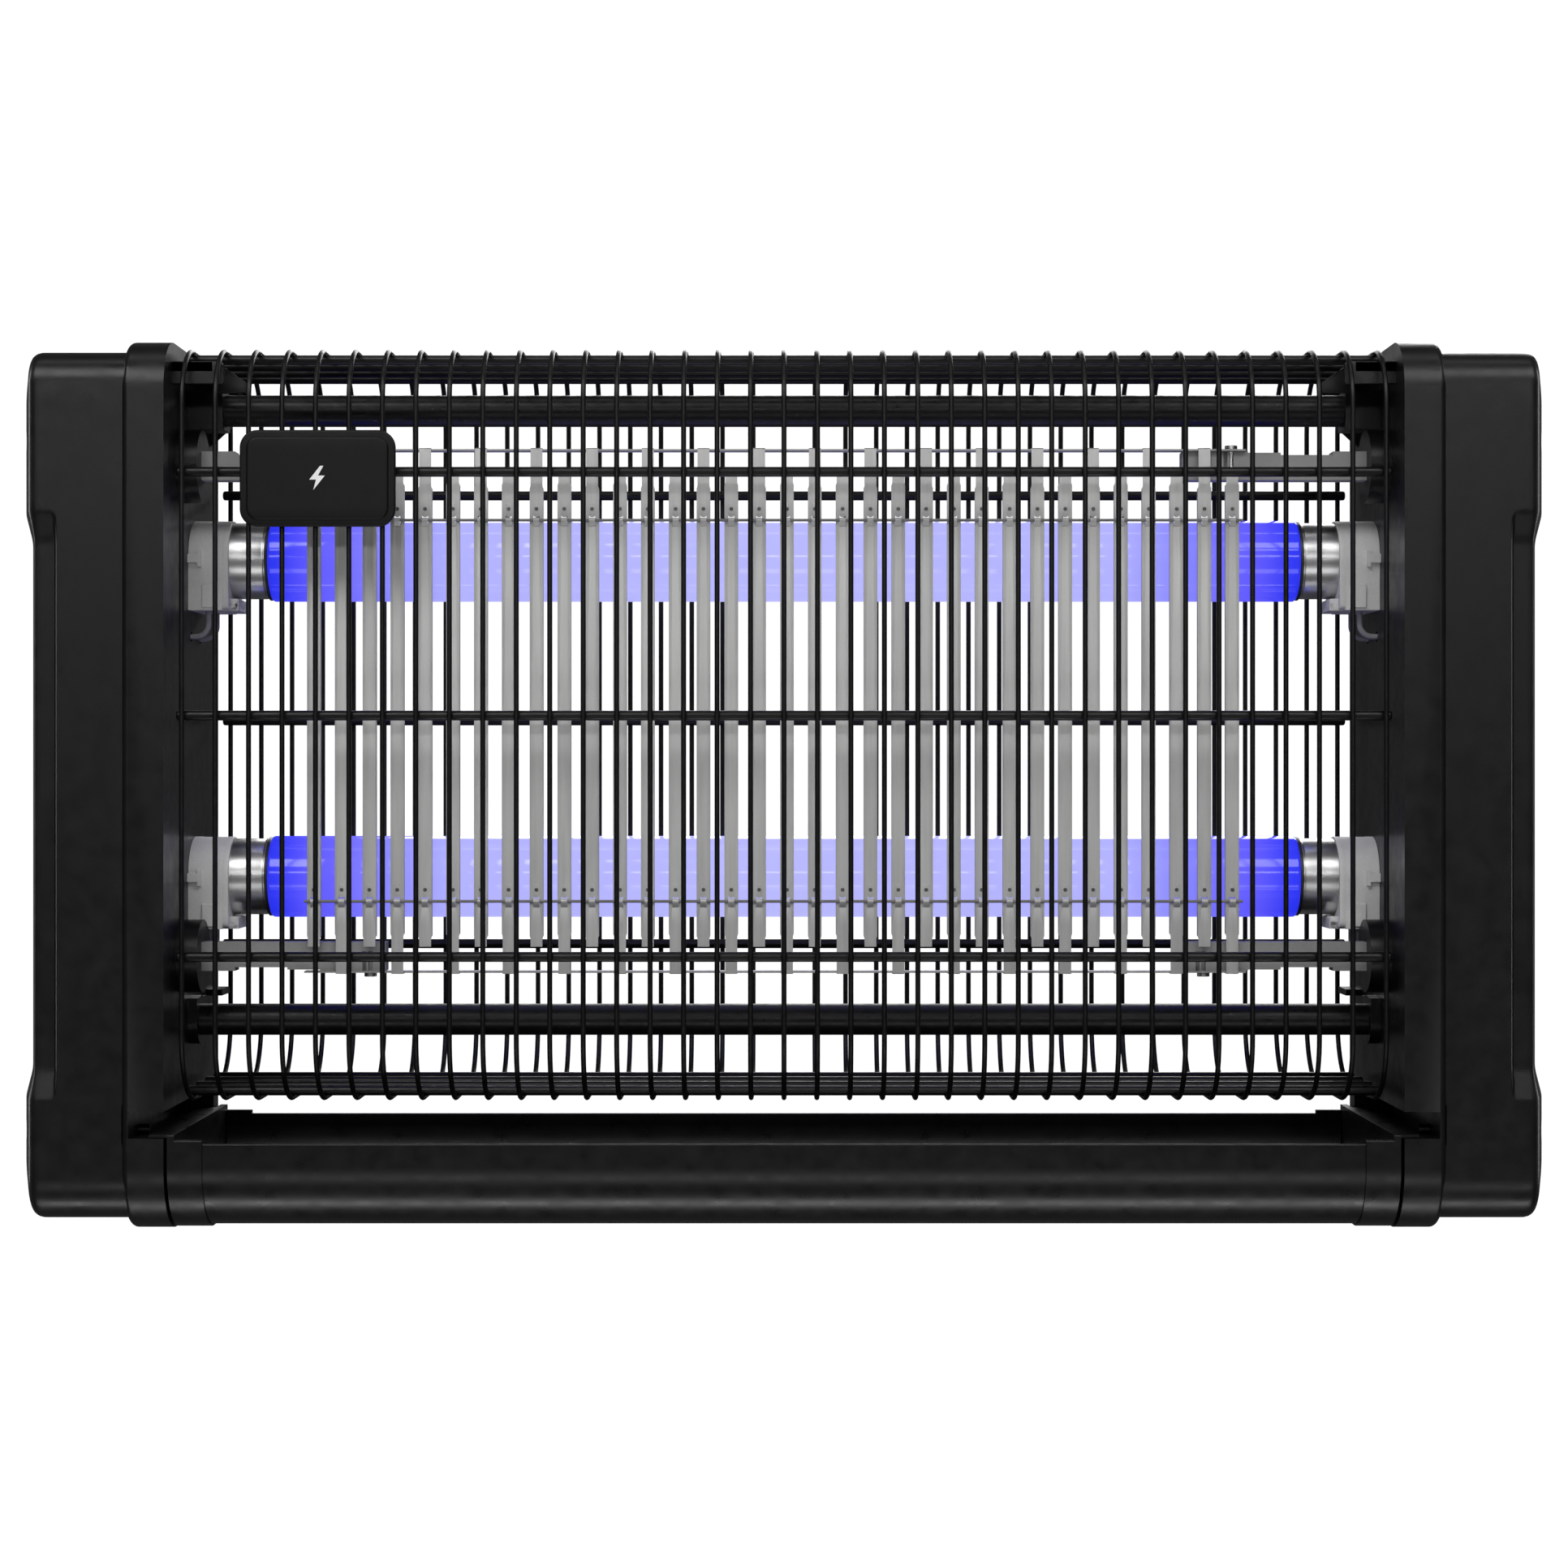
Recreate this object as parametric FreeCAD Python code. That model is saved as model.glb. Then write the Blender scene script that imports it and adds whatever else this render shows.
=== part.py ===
import FreeCAD, Part
import math
import os

from FreeCAD import Vector

# Electric bug zapper: a wire cage between two plastic end housings, two T8 lamps behind a
# high-voltage strip grid, and a catch tray that slides out at the front.
# Millimetres. X to the right, Y away from the viewer, Z up. Origin: bottom centre.

# ---- Overall ----
HALF_WIDTH = 230.0
HALF_DEPTH = 44.0
HEIGHT = 268.0

# ---- End frames and covers ----
WALL_X = 184.7
FRAME_OUT_X = 197.4
FRAME_WALL = 2.5
FRAME_TOP_R = 16.0
FRAME_BOTTOM_R = 20.0
FRAME_EDGE_R = 2.0
FRAME_RIM_Z = 5.5
COVER_HALF_DEPTH = 43.0
COVER_Z = (3.7, 264.3)
COVER_EDGE_R = 9.0
COVER_CAVITY_X = 225.6
COVER_CAVITY_INSET = 4.4
COVER_CAVITY_R = (12.6, 8.6)
COVER_CORNER_EASE = 3.0
TONGUE = 3.0
TONGUE_R = (17.3, 13.3)
TONGUE_GAP = 0.2
RELIEF_X = 217.4
RELIEF_DEPTH = 2.0
RELIEF_Z = (38.7, 216.7)
RELIEF_RAMP = 8.0
RELIEF_STEPS = 5
COVER_SCREW_YZ = [(-28.0, 30.0), (28.0, 30.0), (-28.0, 238.0), (28.0, 238.0)]
COVER_BOSS_R = 4.6
COVER_SEAT_X = 206.0
POST_GAP = 0.2

# ---- Tray rail slot ----
SLOT_OUT_X = 195.3
SLOT_Z = (28.9, 36.9)
SLOT_BACK_Y = 36.0
SLOT_WALL = 1.9

# ---- Guard ----
WIRE_D = 1.55
WIRE_PITCH = 10.0
WIRE_COUNT = 37
WIRE_Y = 40.3
WIRE_Z = (38.8, 265.9)
WIRE_TOP_R = 18.0
WIRE_BOTTOM_R = 20.0
ROD_D = 3.0
ROD_HALF = 182.0
WELD = 0.03
SIDE_ROD_Z = [228.0, 155.0, 82.7]
END_ROD_Y = [-22.0, -7.3, 7.3, 22.0]

# ---- Tie tubes ----
TUBE_OD = 9.8
TUBE_ID = 7.4
TUBE_END_X = 193.0
TUBE_Z = {"upper": 250.8, "lower": 61.1}
NUT_ACROSS = 14.0
NUT_HEIGHT = 4.0
LEDGE_X = 174.0
LEDGE_TOP = 262.1
LEDGE_T = 3.0
LEDGE_HALF_Y = 31.0
GUSSET_X = 172.6
GUSSET_Z = (254.0, 242.0)
GUSSET_T = 1.6
SOCKET_HALF_Y = 6.4
SOCKET_Z = (244.6, 256.5)
TUBE_BOSS_R = 7.6
TUBE_BOSS_X = 181.7
REAR_FIN_X = 179.8
REAR_FIN_Y = (24.0, 38.0)
REAR_FIN_Z = (66.8, 68.8)

# ---- Lamps ----
LAMP_Z = {"upper": 204.4, "lower": 105.5}
LAMP_Y = 6.0
GLASS_D = 25.4
GLASS_WALL = 0.8
GLASS_HALF = 164.0
GLASS_BODY_HALF = 160.4
CAP_D = 23.8
CAP_X = (161.0, 173.7)
CAP_WALL = 0.5
PIN_D = 2.35
PIN_SPACING = 12.7
PIN_LENGTH = 7.0
STEM_R = 4.0
STEM_LENGTH = 22.0
CATHODE_REACH = 32.0

# ---- Lamp holders ----
HOLDER_X = 174.1
HOLDER_R = 12.5
HOLDER_FOOT_Z = -16.0
HOLDER_FOOT_X = 169.6
HOLDER_FOOT_T = 2.4
HOLDER_FOOT_HALF_Y = 9.5
HOLDER_PANEL_X = (175.7, 180.3)
HOLDER_PANEL_DROP = (15.2, 8.2)
HOLDER_PANEL_T = 0.8
PEG_X = (180.5, 181.7)
PEG_T = 1.6
PEG_HALF_H = 1.4
PEG_BAR_HALF_H = 2.6
HOLDER_SIDE = 7.0
HOLDER_SCREW_DROP = 9.0
HOLDER_SCREW_R = 1.2
CAVITY_R = 9.0
CAVITY_X = 182.4
ROTOR_R = 8.7
ROTOR_X = (174.3, 177.3)
ENTRY_W = 3.2
LEAD_D = 1.8
LEAD_BEND_R = 4.0
LEAD_DROP = 8.0
LEAD_HOLE_R = 1.6
ROTOR_WEB_R = 4.0
CONTACT_T = 0.3
CONTACT_H = 4.8

# ---- Killing grid ----
STRIP_PITCH = 8.5
STRIP_COUNT = 34
STRIP_X0 = -143.6
STRIP_Y = -20.0
STRIP_T = 0.3
STRIP_END_W = 3.64
STRIP_BODY_W = 4.16
STRIP_FLANGE = 1.6
TAB_DEPTH = 5.0
SET_Z = {"A": (84.8, 237.1), "B": (76.5, 229.2)}
BODY_Z = {"A": (87.8, 225.0), "B": (88.5, 226.0)}
BUS_T = 0.5
BUS_Z = {"upper": 236.3, "lower": 76.8}
SPACER_D = 0.9
SPACER_Z = {"upper": 215.0, "lower": 98.7}
SPACER_X = (-146.5, 140.0)
CLIP_W = 1.9
CLIP_WALL = 0.35
SPACER_FIT = 0.02
BAR_TIP_X = 121.9
BAR_Y = (-18.3, -11.3)
BAR_Z = {"upper": (227.5, 236.3), "lower": (77.3, 86.1)}
BAR_STEPS = [(142.0, 0.0), (152.0, 0.4), (168.0, 1.1)]
BOSS_R = 11.2
BOSS_X = 178.3
BUS_SCREW_X = {"upper": (-135.1, 136.9), "lower": (-126.6, 128.4)}
BUS_SCREW_R = 1.0
BUS_OVERHANG = (3.0, 4.2)
BAR_BORE_R = 0.85
BAR_LEAD_R = 0.8
BAR_LEAD_OFFSET = 2.7

# ---- Catch tray ----
TRAY_HALF_DEPTH = 43.2
TRAY_Z = (1.0, 27.2)
TRAY_R = 19.5
TRAY_WALL = 1.6
TRAY_END_X = 181.6
CAP_END_X = (173.4, 183.7)
CAP_OVER = 0.7
LIP_OUT_X = 189.2
LIP_Z = (29.1, 30.0)
LIP_Y = (-43.0, 34.0)
TRAY_LIP_R = 0.4

# ---- Badge ----
BADGE_X = -139.0
BADGE_Z = 225.6
BADGE_W = 46.4
BADGE_H = 28.8
BADGE_R = 5.2
BADGE_Y = (-43.9, -41.2)
BADGE_PAD_INSET = 2.0
BADGE_PAD_RAISE = 0.6
HOOK_X = (-155.0, -125.0)
HOOK_HALF_W = 2.0
HOOK_T = 1.2
HOOK_GAP = 0.2

# ---- Electronics, in the right-hand housing ----
BOARD_X = 197.0
BOARD_T = 1.6
STANDOFF_R = 3.0
BALLAST = {"y": (-36.0, 22.0), "z": (72.0, 190.0)}
HIGH_VOLTAGE = {"y": (-36.0, 22.0), "z": (196.0, 230.0)}
HARNESS_X = 192.2
BLOCK_Z = (146.0, 164.0)
BLOCK_Y = (-16.0, 18.0)
BLOCK_T = 10.0
CABLE_R = 2.5
CABLE_Y = -8.0
BOARD_HOLE_R = 1.1
CHOKE_Y = -20.0
CHOKE_Z = (104.0, 160.0)
TRANSFORMER_YZ = (-17.0, 213.0)
HV_CAPACITOR_Y = 13.0
HV_CAPACITOR_Z = (209.5, 219.0)
HV_LEAD_Z = {"upper": 224.0, "lower": 208.0}

# ---- Rear panel: mains switch and inlet ----
PANEL_X = (199.5, 214.5)
PANEL_Z = (48.0, 112.0)
PANEL_Y = 40.5
SWITCH_Z = 93.0
SWITCH_W = 13.0
SWITCH_H = 19.0
ROCKER_W = 10.0
ROCKER_H = 15.0
ROCKER_TILT = 12.0
INLET_Z = 64.0
INLET_X = 207.0
INLET_R = 6.6
INLET_SOCKET_R = 4.6
INLET_HALF = 4.4
INLET_PIN_R = 1.2
BEZEL_T = 1.2
BEZEL_LIP = 0.8
MAINS_LEAD_R = 1.0

# ---- Fasteners ----
SCREW_R = 1.5
SCREW_HEAD_R = 3.0
SCREW_HEAD_H = 2.0
RECESS_LENGTH = 0.62
RECESS_WIDTH = 0.26
RECESS_DEPTH = 0.6

X_AXIS = Vector(1, 0, 0)
Y_AXIS = Vector(0, 1, 0)
Z_AXIS = Vector(0, 0, 1)


# ---- Basic shapes ----
def box(x, y, z):
    """A block from three (low, high) pairs."""
    corner = Vector(x[0], y[0], z[0])
    return Part.makeBox(x[1] - x[0], y[1] - y[0], z[1] - z[0], corner)


def rod_x(x, y, z, radius):
    """A round bar along X, from x[0] to x[1]."""
    return Part.makeCylinder(radius, x[1] - x[0], Vector(x[0], y, z), X_AXIS)


def rod_y(y, x, z, radius):
    return Part.makeCylinder(radius, y[1] - y[0], Vector(x, y[0], z), Y_AXIS)


def rod_z(z, x, y, radius):
    return Part.makeCylinder(radius, z[1] - z[0], Vector(x, y, z[0]), Z_AXIS)


def tube_x(x, y, z, outer, inner):
    return rod_x(x, y, z, outer).cut(rod_x(x, y, z, inner))


def fuse_all(shapes):
    """One solid from several that touch or overlap."""
    result = shapes[0]
    for shape in shapes[1:]:
        result = result.fuse(shape)
    return result.removeSplitter()


def mirrored(shape):
    """The same piece for the other end of the object."""
    return shape.mirror(Vector(0, 0, 0), X_AXIS)


def both_ends(shape):
    return [shape, mirrored(shape)]


def arc_point(centre, radius, degrees, make):
    angle = math.radians(degrees)
    return make(centre[0] + radius * math.cos(angle), centre[1] + radius * math.sin(angle))


def rounded_outline(u, v, radii, make):
    """A closed wire round a rectangle with corners (low-low, high-low, high-high, low-high)."""
    corners = [(u[0], v[0], 180), (u[1], v[0], 270), (u[1], v[1], 0), (u[0], v[1], 90)]
    edges = []
    last = None
    first = None
    for (cu, cv, start), r in zip(corners, radii):
        centre = (cu + r * (1 if cu == u[0] else -1), cv + r * (1 if cv == v[0] else -1))
        a = arc_point(centre, r, start, make)
        b = arc_point(centre, r, start + 45, make)
        c = arc_point(centre, r, start + 90, make)
        if last is None:
            first = a
        elif last.distanceToPoint(a) > 1e-6:
            edges.append(Part.LineSegment(last, a).toShape())
        edges.append(Part.Arc(a, b, c).toShape())
        last = c
    if last.distanceToPoint(first) > 1e-6:
        edges.append(Part.LineSegment(last, first).toShape())
    return Part.Wire(edges)


def rounded_bar_x(x, half_y, z, bottom_r, top_r):
    """A bar along X whose section is a rounded rectangle in the YZ plane."""
    radii = (bottom_r, bottom_r, top_r, top_r)
    wire = rounded_outline((-half_y, half_y), z, radii, lambda y, h: Vector(x[0], y, h))
    return Part.Face(wire).extrude(Vector(x[1] - x[0], 0, 0))


def rounded_plate_y(y, x, z, radius):
    """A plate facing the front, with rounded corners."""
    wire = rounded_outline(x, z, (radius,) * 4, lambda px, pz: Vector(px, y[0], pz))
    return Part.Face(wire).extrude(Vector(0, y[1] - y[0], 0))


def round_edges_at_x(shape, x, radius):
    """Rounds every edge that lies in the plane X = x."""
    edges = []
    for edge in shape.Edges:
        span = edge.BoundBox
        if abs(span.XMin - x) < 1e-4 and abs(span.XMax - x) < 1e-4:
            edges.append(edge)
    return shape.makeFillet(radius, edges)


def screw(seat, direction, length, radius=SCREW_R, head_r=SCREW_HEAD_R, head_h=SCREW_HEAD_H):
    """A pan-head cross-recessed screw. seat is under its head; direction is the way it drives in."""
    seat = Vector(*seat)
    drive = Vector(*direction)
    shank = Part.makeCylinder(radius, length, seat, drive)
    top = seat - drive * head_h
    head = Part.makeCylinder(head_r, head_h, top, drive)
    recess = None
    side = drive.cross(Vector(0.3, 0.5, 0.8)).normalize()
    for arm in (side, drive.cross(side)):
        long = arm * (head_r * RECESS_LENGTH)
        wide = drive.cross(arm) * (head_r * RECESS_WIDTH)
        points = [top + long + wide, top - long + wide, top - long - wide, top + long - wide]
        face = Part.Face(Part.makePolygon(points + points[:1]))
        blade = face.extrude(drive * (head_h * RECESS_DEPTH))
        recess = blade if recess is None else recess.fuse(blade)
    return shank.fuse(head).removeSplitter().cut(recess)


# ---- End frames ----
def boss_centre(level):
    """Height of the middle of an insulator bar, where its round boss is centred."""
    return sum(BAR_Z[level]) / 2


def bar_mid_y():
    return sum(BAR_Y) / 2


def socket_block():
    """The square block on the wall that the upper tie tube passes through."""
    return box((LEDGE_X, WALL_X + 1), (-SOCKET_HALF_Y, SOCKET_HALF_Y), SOCKET_Z)


def lower_tube_boss():
    """The round boss, square above, that the lower tie tube passes through."""
    z = TUBE_Z["lower"]
    x = (TUBE_BOSS_X, WALL_X + 1)
    return rod_x(x, 0, z, TUBE_BOSS_R).fuse(box(x, (-TUBE_BOSS_R, TUBE_BOSS_R), (z, z + 7.0)))


def gusset(y):
    """A triangular web under the guard ledge."""
    root = WALL_X + 1
    points = [(root, LEDGE_TOP), (GUSSET_X, LEDGE_TOP), (GUSSET_X, GUSSET_Z[0]), (root, GUSSET_Z[1])]
    corners = [Vector(x, y, z) for x, z in points]
    return Part.Face(Part.makePolygon(corners + corners[:1])).extrude(Vector(0, GUSSET_T, 0))


def right_frame_blank():
    """The flanged wall, open towards the housing."""
    x = (WALL_X, FRAME_OUT_X)
    outer = rounded_bar_x(x, HALF_DEPTH, (0, HEIGHT), FRAME_BOTTOM_R, FRAME_TOP_R)
    outer = round_edges_at_x(outer, FRAME_OUT_X, FRAME_EDGE_R)
    x = (WALL_X + FRAME_WALL, FRAME_OUT_X + 1)
    z = (FRAME_RIM_Z, HEIGHT - FRAME_RIM_Z)
    radii = (FRAME_BOTTOM_R - FRAME_WALL, FRAME_TOP_R - FRAME_WALL)
    cavity = rounded_bar_x(x, HALF_DEPTH - FRAME_WALL, z, *radii)
    return outer.cut(cavity)


def frame_inside_posts(with_boards):
    """Screw posts on the housing side of the wall."""
    posts = []
    for y, z in COVER_SCREW_YZ:
        posts.append(rod_x((WALL_X + 1, COVER_SEAT_X - 6 - POST_GAP), y, z, COVER_BOSS_R))
    if with_boards:
        for y, z in board_holes(BALLAST) + board_holes(HIGH_VOLTAGE):
            posts.append(rod_x((WALL_X + 1, BOARD_X), y, z, STANDOFF_R))
    return posts


def board_holes(board):
    inset = 4.0
    return [(y, z) for y in (board["y"][0] + inset, board["y"][1] - inset)
            for z in (board["z"][0] + inset, board["z"][1] - inset)]


def bar_lead_place(level):
    """Where the high-voltage lead runs in an insulator bar, clear of its screw: (y, z)."""
    offset = BAR_LEAD_OFFSET if level == "upper" else -BAR_LEAD_OFFSET
    return BAR_Y[1] - 1.6, boss_centre(level) + offset


def lead_holes():
    """Wall holes that the lamp leads pass through: (y, z) at each lamp."""
    holes = []
    for z in LAMP_Z.values():
        for y in (LAMP_Y - HOLDER_SIDE, LAMP_Y + HOLDER_SIDE):
            holes.append((y, z + HOLDER_FOOT_Z - LEAD_DROP))
    return holes


def end_frame(with_boards):
    """The right-hand end frame: a flanged wall with every seat that the cage parts need."""
    ledge_y = (-LEDGE_HALF_Y, LEDGE_HALF_Y)
    ledge = box((LEDGE_X, WALL_X + 1), ledge_y, (LEDGE_TOP - LEDGE_T, LEDGE_TOP))
    solids = [right_frame_blank(), socket_block(), lower_tube_boss(), ledge]
    solids += [gusset(y) for y in (-LEDGE_HALF_Y, LEDGE_HALF_Y - GUSSET_T)]
    for level in ("upper", "lower"):
        solids.append(rod_x((BOSS_X, WALL_X + 1), bar_mid_y(), boss_centre(level), BOSS_R))
    solids.append(box((REAR_FIN_X, WALL_X + 1), REAR_FIN_Y, REAR_FIN_Z))
    rail = box((WALL_X + 1, FRAME_OUT_X), (-HALF_DEPTH + 1, SLOT_BACK_Y + SLOT_WALL),
               (SLOT_Z[0] - SLOT_WALL, SLOT_Z[1] + SLOT_WALL))
    solids.append(rail)
    solids += frame_inside_posts(with_boards)
    frame = fuse_all(solids)
    tools = [box((WALL_X - 1, SLOT_OUT_X), (-HALF_DEPTH - 1, SLOT_BACK_Y), SLOT_Z)]
    for level, z in TUBE_Z.items():
        tools.append(rod_x((LEDGE_X - 1, FRAME_OUT_X), 0, z, TUBE_OD / 2))
    for level in ("upper", "lower"):
        tools.append(box((BOSS_X - 1, WALL_X), BAR_Y, BAR_Z[level]))
        tools.append(rod_x((WALL_X - 1, WALL_X + 5), bar_mid_y(), boss_centre(level), SCREW_R))
    for z in LAMP_Z.values():
        for y in (LAMP_Y - HOLDER_SIDE, LAMP_Y + HOLDER_SIDE):
            tools.append(rod_x((WALL_X - 1, WALL_X + 5), y, z - HOLDER_SCREW_DROP, HOLDER_SCREW_R))
    for y, z in lead_holes():
        tools.append(rod_x((WALL_X - 1, WALL_X + 5), y, z, LEAD_HOLE_R))
    for y, z in COVER_SCREW_YZ:
        tools.append(rod_x((COVER_SEAT_X - 16, COVER_SEAT_X), y, z, SCREW_R))
    if with_boards:
        for y, z in board_holes(BALLAST) + board_holes(HIGH_VOLTAGE):
            tools.append(rod_x((BOARD_X - 6, BOARD_X + 1), y, z, BOARD_HOLE_R))
        for level in ("upper", "lower"):
            y, z = bar_lead_place(level)
            tools.append(rod_x((WALL_X - 1, WALL_X + 5), y, z, 1.0))
    for tool in tools:
        frame = frame.cut(tool)
    return frame


# ---- Outer covers ----
def relief_stations():
    """Heights along the grip relief with its depth at each: (z, depth)."""
    stations = []
    for end, outward in ((RELIEF_Z[0], -1), (RELIEF_Z[1], 1)):
        ramp = []
        for i in range(RELIEF_STEPS + 1):
            t = i / RELIEF_STEPS
            depth = RELIEF_DEPTH * (1 - t * t * (3 - 2 * t))
            ramp.append((end + outward * RELIEF_RAMP * t, depth))
        stations += ramp[::-1] if outward < 0 else ramp
    return stations


def relief_core():
    """What is left inside the shallow grip relief: a block whose sides step in by smooth ramps."""
    r = COVER_EDGE_R - RELIEF_DEPTH / 2
    sections = []
    for z, depth in relief_stations():
        y = COVER_HALF_DEPTH - depth
        x = (RELIEF_X - 20, HALF_WIDTH - depth)
        wire = rounded_outline(x, (-y, y), (1.0, r, r, 1.0), lambda a, b, h=z: Vector(a, b, h))
        sections.append(wire)
    return Part.makeLoft(sections, True, True)


def cover_cavity(x):
    """The room inside a cover, from x[0] to x[1]."""
    inset = COVER_CAVITY_INSET
    z = (COVER_Z[0] + inset, COVER_Z[1] - inset)
    return rounded_bar_x(x, COVER_HALF_DEPTH - inset, z, *COVER_CAVITY_R)


def cover_tongue():
    """The thin wall that slips inside the end frame, cut away around the tray rail."""
    x = (FRAME_OUT_X - TONGUE, FRAME_OUT_X + 1)
    z = (FRAME_RIM_Z + TONGUE_GAP, HEIGHT - FRAME_RIM_Z - TONGUE_GAP)
    tongue = rounded_bar_x(x, HALF_DEPTH - FRAME_WALL - TONGUE_GAP, z, *TONGUE_R)
    tongue = tongue.cut(cover_cavity((x[0] - 1, x[1] + 1)))
    room = SLOT_WALL + 0.5
    rail_y = (-HALF_DEPTH, SLOT_BACK_Y + room)
    return tongue.cut(box((x[0] - 1, FRAME_OUT_X), rail_y, (SLOT_Z[0] - room, SLOT_Z[1] + room)))


def outer_cover(with_panel):
    """The right-hand housing shell that closes an end frame."""
    radii = (FRAME_BOTTOM_R - COVER_CORNER_EASE, FRAME_TOP_R - COVER_CORNER_EASE)
    blank = rounded_bar_x((FRAME_OUT_X, HALF_WIDTH), COVER_HALF_DEPTH, COVER_Z, *radii)
    blank = round_edges_at_x(blank, HALF_WIDTH, COVER_EDGE_R)
    band_y = (-COVER_HALF_DEPTH - 1, COVER_HALF_DEPTH + 1)
    band_z = (RELIEF_Z[0] - RELIEF_RAMP, RELIEF_Z[1] + RELIEF_RAMP)
    band = box((RELIEF_X, HALF_WIDTH + 1), band_y, band_z)
    shell = blank.cut(band.cut(relief_core()))
    shell = shell.cut(cover_cavity((FRAME_OUT_X - 1, COVER_CAVITY_X)))
    shell = shell.fuse(cover_tongue())
    for y, z in COVER_SCREW_YZ:
        shell = shell.fuse(rod_x((COVER_SEAT_X - 6, COVER_CAVITY_X + 1), y, z, COVER_BOSS_R))
    if with_panel:
        pocket_y = (PANEL_Y - 4.5, COVER_HALF_DEPTH - 1)
        pocket_x = (PANEL_X[0] - 2, PANEL_X[1] + 2)
        shell = shell.fuse(box(pocket_x, pocket_y, (PANEL_Z[0] - 2, PANEL_Z[1] + 2)))
    shell = shell.removeSplitter()
    for y, z in COVER_SCREW_YZ:
        shell = shell.cut(rod_x((COVER_SEAT_X, HALF_WIDTH + 1), y, z, SCREW_HEAD_R + 0.4))
        shell = shell.cut(rod_x((COVER_SEAT_X - 7, COVER_SEAT_X + 1), y, z, SCREW_R + 0.3))
    if with_panel:
        shell = shell.cut(box(PANEL_X, (PANEL_Y, COVER_HALF_DEPTH + 1), PANEL_Z))
        shell = shell.cut(switch_opening())
        shell = shell.cut(inlet_outline(INLET_R, PANEL_Y - 8))
    return shell


# ---- Guard ----
def guard_hoop(x):
    """One closed, welded wire hoop in the plane X = x."""
    radii = (WIRE_BOTTOM_R, WIRE_BOTTOM_R, WIRE_TOP_R, WIRE_TOP_R)
    path = rounded_outline((-WIRE_Y, WIRE_Y), WIRE_Z, radii, lambda y, z: Vector(x, y, z))
    start = Vector(x, -WIRE_Y, WIRE_Z[0] + WIRE_BOTTOM_R)
    section = Part.Wire(Part.makeCircle(WIRE_D / 2, start, Z_AXIS))
    return path.makePipeShell([section], True, True)


def guard_hoops():
    middle = (WIRE_COUNT - 1) / 2
    return [guard_hoop((i - middle) * WIRE_PITCH) for i in range(WIRE_COUNT)]


def guard_rods():
    """Long rods welded to the inside of the hoops, with rounded ends."""
    inside = WIRE_D / 2 + ROD_D / 2 - WELD
    places = [(side * (WIRE_Y - inside), z) for z in SIDE_ROD_Z for side in (-1, 1)]
    places += [(y, WIRE_Z[1] - inside) for y in END_ROD_Y]
    places += [(y, WIRE_Z[0] + inside) for y in END_ROD_Y]
    rods = []
    for y, z in places:
        rod = rod_x((-ROD_HALF, ROD_HALF), y, z, ROD_D / 2)
        rods.append(rod.makeFillet(0.7, [rod.Edges[0], rod.Edges[2]]))
    return rods


# ---- Killing grid ----
def strip_x(index):
    return STRIP_X0 + index * STRIP_PITCH


def grid_strip(group, x):
    """One sheet-metal grid strip: a flat face with folded-back edges, two clips and a welded tab."""
    low, high = SET_Z[group]
    body = BODY_Z[group]
    face_y = (STRIP_Y - STRIP_T, STRIP_Y)
    end_w = STRIP_END_W / 2
    body_w = STRIP_BODY_W / 2
    face = box((x - end_w, x + end_w), face_y, (low, high))
    wide = box((x - body_w, x + body_w), face_y, body)
    left = box((x - body_w, x - body_w + STRIP_T), (STRIP_Y - STRIP_T, STRIP_Y + STRIP_FLANGE), body)
    right = box((x + body_w - STRIP_T, x + body_w), (STRIP_Y - STRIP_T, STRIP_Y + STRIP_FLANGE), body)
    tab_z = (high - STRIP_T, high) if group == "A" else (low, low + STRIP_T)
    tab = box((x - end_w, x + end_w), (STRIP_Y - STRIP_T, STRIP_Y + TAB_DEPTH), tab_z)
    strip = fuse_all([face, wide, left, right, tab])
    for z in SPACER_Z.values():
        strip = strip.fuse(rod_clip(x, z))
    return strip.removeSplitter()


def rod_clip(x, z):
    """The small loop on a strip's face that holds a spacer rod."""
    y = spacer_y()
    bore_r = SPACER_D / 2 + SPACER_FIT
    outer_r = bore_r + CLIP_WALL
    wide = (x - CLIP_W / 2, x + CLIP_W / 2)
    through = (x - CLIP_W, x + CLIP_W)
    cheeks_y = (y, STRIP_Y - STRIP_T)
    clip = rod_x(wide, y, z, outer_r).fuse(box(wide, cheeks_y, (z - outer_r, z + outer_r)))
    clip = clip.cut(rod_x(through, y, z, bore_r))
    return clip.cut(box(through, cheeks_y, (z - bore_r, z + bore_r)))


def spacer_y():
    return STRIP_Y - STRIP_T - SPACER_D / 2 - SPACER_FIT


def grid_set(group):
    first = 0 if group == "A" else 1
    return [grid_strip(group, strip_x(i)) for i in range(first, STRIP_COUNT, 2)]


def busbar(level):
    z = (BUS_Z[level], BUS_Z[level] + BUS_T)
    x = (strip_x(0) - BUS_OVERHANG[0], strip_x(STRIP_COUNT - 1) + BUS_OVERHANG[1])
    bar = box(x, (STRIP_Y, STRIP_Y + TAB_DEPTH), z)
    for x in BUS_SCREW_X[level]:
        bar = bar.cut(rod_z((z[0] - 1, z[1] + 1), x, STRIP_Y + TAB_DEPTH / 2, BUS_SCREW_R))
    return bar


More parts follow.
